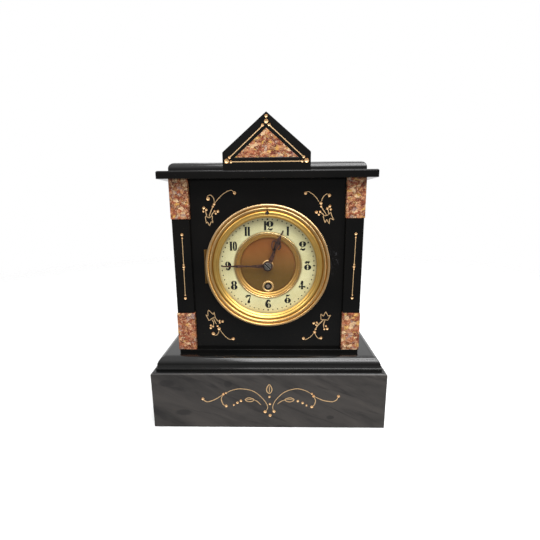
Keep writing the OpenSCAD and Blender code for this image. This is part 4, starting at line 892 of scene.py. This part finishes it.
def dress_bezel():
    """The hinged bezel: two milled rings and two polished ribs, with a notch for the regulator."""
    front, back = low("bezel").y / MM - 0.1, high("bezel").y / MM
    glass_front = low("bezel_glass").y / MM
    seat = (high("bezel_glass").x - DIAL.x) / MM + 0.15
    outer, sight = 62.2, 49.1
    waves = [(outer, 2), (62.05, 1.3), (61.7, 0.75), (61.2, 0.4), (60.6, 0.3), (60, 0.45), (59.5, 0.85),
             (59.15, 1.4), (58.9, 1.75), (58.7, 1.65), (58.4, 1.2), (57.9, 0.85), (57.2, 0.75), (56.5, 0.95),
             (55.9, 1.3), (55.5, 1.75), (55.15, 2.05), (54.8, 1.9), (54.4, 1.4), (53.9, 1.15), (53.2, 1.25),
             (52.5, 1.55), (51.9, 1.95), (51.6, 2.2), (51.4, 2.2), (51.1, 2.1), (50.6, 2.25), (50.0, 2.6),
             (49.5, 3.0), (sight, 3.3)]
    section = [(seat, back), (outer, back)] + [(r, front + depth) for r, depth in waves]
    ring = turned(section + [(sight, glass_front), (seat, glass_front)], DIAL, 256)
    arbor = (low("regulator_arbor") + high("regulator_arbor")) / 2
    notch_r, notch_width, notch_top = 1.9, 1.2, DIAL.z + 58.4 * MM
    bore(ring, (arbor.x, DIAL.y, arbor.z), notch_r)
    cut(ring, box((arbor.x, DIAL.y, (arbor.z + notch_top) / 2),
                  (notch_width, 20, (notch_top - arbor.z) / MM)))
    smooth(ring)
    knuckle = node_part("bezel", lambda c: c.x < DIAL.x - (outer - 0.5) * MM)
    pin = softened("bezel_hinge_pin", 0.1, STEEL)
    fixed = softened("case_ring", 0.2, BEZEL_BRASS)
    hinge_edge = DIAL.x - (outer + 1.85) * MM
    for part in (knuckle, pin, fixed):
        for vertex in part.data.vertices:
            vertex.co.x = max(vertex.co.x, hinge_edge)
    finish_piece(join([ring, knuckle], "bezel_ring"), "bezel_ring", BEZEL_BRASS, "bezel", ["bezel"])
    mill_edge(front)
    mill_second(front)


def node_part(node, keep):
    """The faces of a node whose vertices all pass keep, as a new object."""
    obj = node_copy(node, node + "_part")
    with editing(obj):
        bpy.ops.mesh.remove_doubles(threshold=1e-6)
        bpy.ops.mesh.select_mode(type="FACE")
        bpy.ops.mesh.select_all(action="DESELECT")
    for polygon in obj.data.polygons:
        polygon.select = not all(keep(obj.data.vertices[i].co) for i in polygon.vertices)
    bpy.ops.object.mode_set(mode="EDIT")
    bpy.ops.mesh.delete(type="FACE")
    bpy.ops.mesh.select_mode(type="VERT")
    bpy.ops.object.mode_set(mode="OBJECT")
    smooth(obj)
    return obj


def spun_copies(obj, count):
    """Repeats obj round the dial's centre."""
    with editing(obj):
        bpy.ops.mesh.spin(steps=count - 1, dupli=True, angle=2 * math.pi * (count - 1) / count,
                          center=(DIAL.x, 0, DIAL.z), axis=(0, 1, 0))


def mill_edge(front):
    """The rope milling of the bezel's outer ring: slanting ridges over its round edge."""
    count, lean, rise = 210, 2.4, 0.1
    ring_r, tube_r, sunk = 60.6, 1.6, 0.05
    angles = [-20 - 140 * i / 6 for i in range(7)]
    last = len(angles) - 1
    bpy.ops.curve.primitive_nurbs_path_add()
    path = bpy.context.object
    curve = path.data
    curve.splines.clear()
    spline = curve.splines.new("POLY")
    spline.points.add(last)
    for i, (point, degrees) in enumerate(zip(spline.points, angles)):
        a = math.radians(degrees)
        radius = ring_r + (tube_r - sunk) * math.cos(a)
        along = lean * (i / last - 0.5) / radius
        depth = front + 1.9 + (tube_r - sunk) * math.sin(a)
        point.co = (DIAL.x + radius * math.sin(along) * MM, depth * MM,
                    DIAL.z + radius * math.cos(along) * MM, 1)
        point.radius = 0.5 if i in (0, last) else 1
    curve.bevel_depth = (rise + 0.14) * MM
    curve.bevel_resolution = 0
    curve.use_fill_caps = True
    path.location = (0, 0, 0)
    only(path)
    bpy.ops.object.convert(target="MESH")
    spun_copies(path, count)
    smooth(path, 60)
    finish_piece(path, "bezel_edge_milling", BEZEL_BRASS, "bezel")


def mill_second(front):
    """The fine milling of the second ring: narrow ridges, slanting a little."""
    place = (DIAL.x, (front + 0.86) * MM, DIAL.z + 57.4 * MM)
    ridge = box(place, (0.5, 0.3, 1.1), (0, math.radians(14), 0))
    modify(ridge, "BEVEL", width=0.12 * MM, segments=1)
    spun_copies(ridge, 300)
    finish_piece(ridge, "bezel_face_milling", BEZEL_BRASS, "bezel")


# Dial

def dress_dial():
    """The dial: brass centre with its sunken dish, the collars, the numerals and the minute dots."""
    face, seat = low("chapter_ring").y / MM, low("dial_pan").y / MM
    dish = seat - 1
    inner, outer = 28.3, 34.6
    waves = [(inner, 2.3), (28.7, 1.6), (29.2, 1.15), (29.9, 0.9), (30.5, 0.95), (30.8, 1.2), (31.1, 0.7),
             (31.6, 0.3), (32.1, 0.15), (32.5, 0.25), (32.9, 0.6), (outer, 0.6)]
    ring = turned([(r, face + rise) for r, rise in waves] + [(outer, seat), (inner, seat)], DIAL)
    ring_brass = turned_brass("dial_brass", DIAL, 0.0012, (0.82, 0.5, 0.15), 0.2, (0.38, 0.46))
    finish_piece(ring, "dial_centre_ring", ring_brass, "case", ["dial_centre"])
    bead = turned(arc((33.55, face + 0.1), 0.7, 0, 360, 20)[:-1], DIAL, 360)
    # The bead's brass is painted paler than the ring's: a painted highlight along the bead, besides its lower
    # roughness.
    bead_brass_painted_bright = turned_brass("bead_brass_painted_bright", DIAL, 0.0012, (0.95, 0.74, 0.38), 0.1, (0.25, 0.27))
    finish_piece(bead, "dial_centre_bead", bead_brass_painted_bright, "case")
    hub, rim, winding_hole = 3.4, 28.35, 4.4
    plate = turned([(hub, dish), (14, dish - 0.04), (22, dish - 0.12), (rim, dish - 0.25), (rim, seat),
                    (hub, seat)], DIAL, 128)
    bore(plate, (WINDING.x, DIAL.y, WINDING.z), winding_hole, 48)
    smooth(plate)
    finish_piece(plate, "dial_dish", aged_dish(), "case")
    lip = dish - 1.2
    eye_brass = turned_brass("eye_brass", WINDING, 0.0012, (0.95, 0.68, 0.32), 0.15, (0.46, 0.52))
    eye = [(4, dish + 2)] + arc((4.9, lip + 0.9), 0.9, 180, 270, 6) + arc((5.2, lip + 0.7), 0.7, 270, 360, 6)
    eye += [(6, dish), (4.45, dish), (4.45, dish + 2)]
    finish_piece(turned(eye, WINDING, 72), "winding_eye", eye_brass, "case", ["winding_grommet"])
    collar = [(hub, dish)] + arc((3.9, lip + 0.5), 0.5, 180, 270, 4) + arc((4.8, lip + 0.9), 0.9, 270, 360, 6)
    finish_piece(turned(collar + [(5.7, dish)], DIAL, 72), "dial_collar", eye_brass, "case")
    add_dots(face)
    add_numerals(face)


def add_dots(face):
    """The sixty minute dots, larger at each hour."""
    track, small, large, thickness = 47.1, 0.62, 0.88, 0.04
    front = (face - thickness) * MM
    parts = []
    for minute in range(60):
        a = math.radians(6 * minute)
        place = (DIAL.x + track * math.sin(a) * MM, front, DIAL.z + track * math.cos(a) * MM)
        bpy.ops.mesh.primitive_circle_add(vertices=14, radius=(small if minute % 5 else large) * MM,
                                          fill_type="NGON", location=place, rotation=(math.pi / 2, 0, 0))
        parts.append(bpy.context.object)
    dots = join(parts, "minute_dots")
    apply_place(dots)
    with editing(dots):
        bpy.ops.mesh.extrude_region_move(TRANSFORM_OT_translate={"value": (0, thickness * MM, 0)})
        bpy.ops.mesh.select_all(action="SELECT")
        bpy.ops.mesh.normals_make_consistent(inside=False)
    finish_piece(dots, "minute_dots", INK, "case")


def lobe(x, z, width, height, eye_width=0.13, point=1.15, count=32):
    """A closed loop between an outer shape, pointed at its sides, and an oval eye almost as high."""
    path = []
    for i in range(count):
        c, s = math.cos(2 * math.pi * i / count), math.sin(2 * math.pi * i / count)
        outer = (width / 2 * math.copysign(abs(c) ** point, c), height / 2 * s)
        inner = (eye_width / 2 * c, (height / 2 - 0.055) * s)
        path.append((x + (outer[0] + inner[0]) / 2, z + (outer[1] + inner[1]) / 2,
                     math.hypot(outer[0] - inner[0], outer[1] - inner[1]) / 2))
    return path, True


def bar(x, half=0.12):
    """An upright stroke with slightly spread ends."""
    return [(x, -0.5, half * 1.2), (x, -0.43, half), (x, 0.43, half), (x, 0.5, half * 1.2)], False


def curl(*points):
    """An open curved stroke through (x, z, half width)."""
    return smooth_path(points), False


def blot(x, z, r):
    """A round end of a stroke."""
    return [(x + r * math.cos(a), z + r * math.sin(a), r * 0.5)
            for a in (math.radians(45 * k) for k in range(8))], True


def eye_bar(x, z, half=0.018):
    """The fine level stroke across the eye of a loop."""
    return [(x - 0.1, z, half), (x + 0.1, z, half)], False


def shifted(strokes, x, turn=1):
    """Strokes moved sideways by x, and turned half round if turn is -1."""
    return [([(x + turn * px, turn * pz, w) for px, pz, w in path], closed) for path, closed in strokes]


GLYPHS = {
    "0": [lobe(0, 0, 0.48, 1.0, 0.08, 0.6)],
    "1": [bar(0)],
    "2": [lobe(0, 0.19, 0.8, 0.62, point=1.45), eye_bar(0, 0.19),
          curl((-0.03, -0.13, 0.03), (-0.14, -0.27, 0.03), (-0.25, -0.44, 0.03)),
          curl((-0.25, -0.42, 0.05), (-0.12, -0.36, 0.06), (0.02, -0.42, 0.11), (0.17, -0.4, 0.1),
               (0.28, -0.27, 0.05))],
    "3": [lobe(0, -0.19, 0.8, 0.62, point=1.45), eye_bar(0, -0.19),
          curl((-0.22, 0.36, 0.07), (-0.12, 0.45, 0.06), (0.04, 0.38, 0.11), (0.24, 0.46, 0.05)),
          curl((0.24, 0.47, 0.025), (0.1, 0.26, 0.03), (0, 0.1, 0.03)), blot(-0.2, 0.34, 0.09)],
    "4": [curl((0, 0.5, 0.08), (0, 0.34, 0.14), (0, 0.05, 0.11), (0, -0.3, 0.1), (0, -0.42, 0.14),
               (0, -0.5, 0.11)),
          curl((-0.38, -0.2, 0.06), (-0.29, -0.2, 0.11), (-0.14, -0.2, 0.07), (0.14, -0.2, 0.07),
               (0.29, -0.2, 0.11), (0.38, -0.2, 0.06)),
          curl((-0.3, -0.17, 0.025), (-0.17, 0.14, 0.025), (-0.04, 0.44, 0.025))],
    "5": [lobe(0, -0.19, 0.72, 0.61), eye_bar(0, -0.19),
          curl((-0.14, 0.46, 0.06), (-0.05, 0.41, 0.11), (0.08, 0.4, 0.08), (0.24, 0.49, 0.04)),
          curl((-0.15, 0.46, 0.03), (-0.15, 0.26, 0.03), (-0.08, 0.1, 0.04)),
          blot(-0.2, -0.2, 0.1), blot(0.2, -0.19, 0.1)],
    "6": [curl((0.17, 0.36, 0.06), (0.08, 0.46, 0.05), (-0.07, 0.38, 0.1), (-0.2, 0.04, 0.14),
               (-0.16, -0.26, 0.12), (-0.02, -0.47, 0.03)),
          lobe(0.08, -0.21, 0.52, 0.54, 0.1), blot(0.16, 0.34, 0.08)],
    "7": [curl((-0.26, 0.3, 0.07), (-0.18, 0.43, 0.06), (-0.04, 0.38, 0.11), (0.22, 0.44, 0.05)),
          curl((0.22, 0.44, 0.04), (0.13, 0.12, 0.05), (0.04, -0.16, 0.1), (0.01, -0.36, 0.17),
               (0.01, -0.5, 0.08)),
          blot(-0.24, 0.27, 0.09)],
    "8": [lobe(0, 0.25, 0.64, 0.5, 0.12), lobe(0, -0.23, 0.76, 0.54, 0.12), eye_bar(0, -0.23)],
}
GLYPHS["9"] = shifted(GLYPHS["6"], 0, -1)


def add_numerals(face):
    """The twelve upright numerals of the chapter ring. The strokes of each figure are one unit high."""
    ring_r, height, thickness = 40.6, 9.2, 0.04
    parts = []
    for hour in range(1, 13):
        a = math.radians(30 * hour)
        cx, cz = DIAL.x / MM + ring_r * math.sin(a), DIAL.z / MM + ring_r * math.cos(a)
        digits = str(hour)
        spacing = {"10": 0.43, "11": 0.33, "12": 0.52}.get(digits, 0)
        for i, digit in enumerate(digits):
            for path, closed in shifted(GLYPHS[digit], (i - (len(digits) - 1) / 2) * spacing):
                real = [(cx + px * height, cz + pz * height, w * height) for px, pz, w in path]
                parts.append(ribbon(real, face - thickness, thickness, closed))
    finish_piece(join(parts, "numerals"), "numerals", INK, "case")


# Hands

def hand_piece(node, angle, paths, boss_r, hole_r, body):
    """A hand of flat strips joined to a ring round the arbor, with softened edges, at an angle from twelve.
    Paths hold (sideways, outwards, half width) in mm."""
    front, thickness = low(node).y / MM, 0.6
    a = math.radians(angle)
    parts = []
    for path, closed in paths:
        placed = [(DIAL.x / MM + s * math.cos(a) + r * math.sin(a),
                   DIAL.z / MM - s * math.sin(a) + r * math.cos(a), w)
                  for s, r, w in path]
        parts.append(ribbon(placed, front, thickness, closed))
    ring = [(hole_r, front), (boss_r, front), (boss_r, front + thickness), (hole_r, front + thickness)]
    parts.append(turned(ring, DIAL, 48))
    for part in parts:
        modify(part, "BEVEL", width=0.09 * MM, segments=2, limit_method="ANGLE", angle_limit=math.radians(50))
    hand = join(parts, node + "_blade")
    smooth(hand)
    finish_piece(hand, node + "_blade", HAND_STEEL, body, [node])


def dress_hands():
    """The pierced hour hand, the slim minute hand, and the screw that holds them."""
    blade = smooth_path([(0, 4, 2), (0, 8, 1.8), (0, 13, 1.25), (0, 18, 0.85), (0, 20.6, 0.8),
                         (0, 21.6, 1.15), (0, 22.8, 0.8), (0, 26, 1.05), (0, 30, 1.4), (0, 33, 1.05),
                         (0, 36, 0.75), (0, 45, 0.7), (0, 45.8, 0.4)], 4)
    hand_piece("minute_hand", 270, [(blade, False)], 5.2, 1, "minute_train")
    stem = smooth_path([(0.2, 3, 2), (0.4, 7, 2.1), (0.5, 11, 1.9), (0.2, 14, 1.5), (-0.1, 16.5, 1.3),
                        (0, 18, 1.2)], 4)
    spur = [(0.2, 15.4, 0.9), (1.1, 15.3, 0.7), (1.9, 14.9, 0.4)]
    left_loop = smooth_path([(-0.6, 17.2, 0.7), (-2.9, 18.6, 0.65), (-4.3, 21, 0.65), (-5, 23.8, 0.7),
                             (-4.4, 26, 0.8), (-2.8, 26.4, 0.7), (-1.9, 24.6, 0.65),
                             (-1.2, 21.4, 0.8)], 4, True)
    blade = smooth_path([(0, 17, 1.2), (0, 21, 1.6), (0.4, 25, 2.2), (0.2, 28, 2.2), (0.1, 30.6, 1.6),
                         (0.2, 32.4, 0.9), (0.3, 34, 0.75), (0.4, 38.4, 0.75), (0.4, 39.2, 0.4)], 4)
    right_hook = smooth_path([(1.4, 27.2, 1.0), (3, 25.4, 0.9), (4.1, 23.2, 0.8), (4.1, 21, 0.75),
                              (3, 19.4, 0.6)], 4)
    paths = [(stem, False), (spur, False), (left_loop, True), (blade, False), (right_hook, False)]
    hand_piece("hour_hand", 23, paths, 5, 3, "hour_train")
    tip, seat = low("hand_screw").y / MM, high("hand_screw").y / MM
    r = (high("hand_screw").x - DIAL.x) / MM
    head = [(0, tip), (r * 0.5, tip + 0.04), (r * 0.8, tip + 0.14), (r - 0.15, tip + 0.36), (r, tip + 0.6),
            (r, seat)]
    screw = turned(head + [(0, seat)], DIAL, 64)
    cut(screw, box((DIAL.x, tip * MM, DIAL.z), (3 * r, 1.5, 1.3), (0, math.radians(45), 0)))
    smooth(screw)
    finish_piece(screw, "hand_screw_head", screw_steel(), "minute_train", ["hand_screw"])


# Movement and back

def dress_nodes():
    """Finishes of the nodes that keep their solids' shapes."""
    looks = ((movement_brass(), "front_plate", "back_plate", "plate_pillars", "back_cock", "suspension_block",
              "suspension_slide"),
             (turned_brass("pan_brass", DIAL, 0.0008, (0.6, 0.43, 0.2)), "dial_pan", "rear_ring"),
             (turned_brass("barrel_brass", WINDING), "barrel", "barrel_cover"),
             (movement_brass("wheel_brass", (0.7, 0.5, 0.22), (700, 60, 700)), "intermediate_wheel",
              "centre_wheel", "third_wheel", "escape_wheel", "minute_wheel", "hour_wheel", "pendulum_rod",
              "rating_nut"),
             (arbor_steel(), "barrel_arbor"),
             (STEEL, "ratchet_wheel", "click", "mainspring", "pallets", "crutch", "cannon_pinion",
              "suspension_spring", "mounting_straps", "rear_hinge_pin"),
             (clean_steel("dark_steel", (0.13, 0.12, 0.12), (0.3, 0.45)), "regulator_arbor",
              "regulator_screw"),
             (blued_steel(), "click_spring", "pillar_screws", "strap_screws"),
             (cream_enamel(), "chapter_ring"), (clear_glass(), "bezel_glass"),
             (SLATE, "side_panels"), (sawn_slate(), "back_panel"))
    for material, *names in looks:
        for name in names:
            obj = nodes[name]
            if not obj.material_slots:
                obj.data.materials.append(material)
            for entry in obj.material_slots:
                entry.material = material


def dress_pendulum():
    """The lens-shaped bob."""
    lowest, highest = low("pendulum_bob"), high("pendulum_bob")
    bob = (lowest + highest) / 2
    half, thick = ((highest[axis] - lowest[axis]) / 2 / MM for axis in (0, 1))
    y = bob.y / MM
    edge = 0.6
    bulge = (half ** 2 + (thick - edge) ** 2) / (2 * (thick - edge))
    spread = math.asin(half / bulge)
    steps = 14
    angles = [spread * i / steps for i in range(steps + 1)]
    face = [(bulge * math.sin(a), thick - bulge * (1 - math.cos(a))) for a in angles]
    lens = turned([(r, y - d) for r, d in face] + [(r, y + d) for r, d in reversed(face)], bob, 128)
    rod_hole = 1.35
    bore(lens, bob, rod_hole, length=3 * half, turn=(0, 0, 0))
    smooth(lens)
    finish_piece(lens, "bob_lens", turned_brass("bob_brass", bob, 0.0006), "bob",
                 ["pendulum_bob"])


def dress_door():
    """The rear door: a spun brass pan with raised beads, and its turned knob."""
    front, back = low("rear_door").y / MM, high("rear_door").y / MM
    r, sheet = 56, 1.4
    raised = front + 1
    section = [(0, raised), (r - 6, raised), (r - 4, front), (r, front), (r, front + sheet - 0.3),
               (r - 0.3, front + sheet), (r - 3.4, front + sheet)]
    section += arc((r - 4.6, front + sheet + 0.5), 0.9, 0, 180) + [(r - 6, raised + sheet)]
    section += arc((30, raised + sheet), 0.7, 0, 180) + arc((28, raised + sheet), 0.45, 0, 180, 6)
    pan = turned(section + [(0, raised + sheet)], DIAL)
    knob_at = Vector((DIAL.x - (r - 12) * MM, 0, DIAL.z))
    foot = raised + sheet - 0.2
    knob = [(0, foot), (1.4, foot), (1.4, front + 3.4)] + arc((2.3, front + 4.9), 0.9, -60, 60, 6)
    knob += [(1.4, back - 0.12), (0, back)]
    knuckle = node_part("rear_door", lambda c: c.x > DIAL.x + (r - 0.6) * MM)
    door = join([pan, turned(knob, knob_at, 48), knuckle], "rear_door_pan")
    finish_piece(door, "rear_door_pan", turned_brass("door_brass", DIAL, 0.001), "rear_door",
                 ["rear_door"])


add_camera()
add_world()
add_lights()
add_floor()
dress_case()
dress_bezel()
dress_dial()
dress_hands()
dress_nodes()
dress_pendulum()
dress_door()

bpy.context.scene.view_settings.view_transform = "Standard"
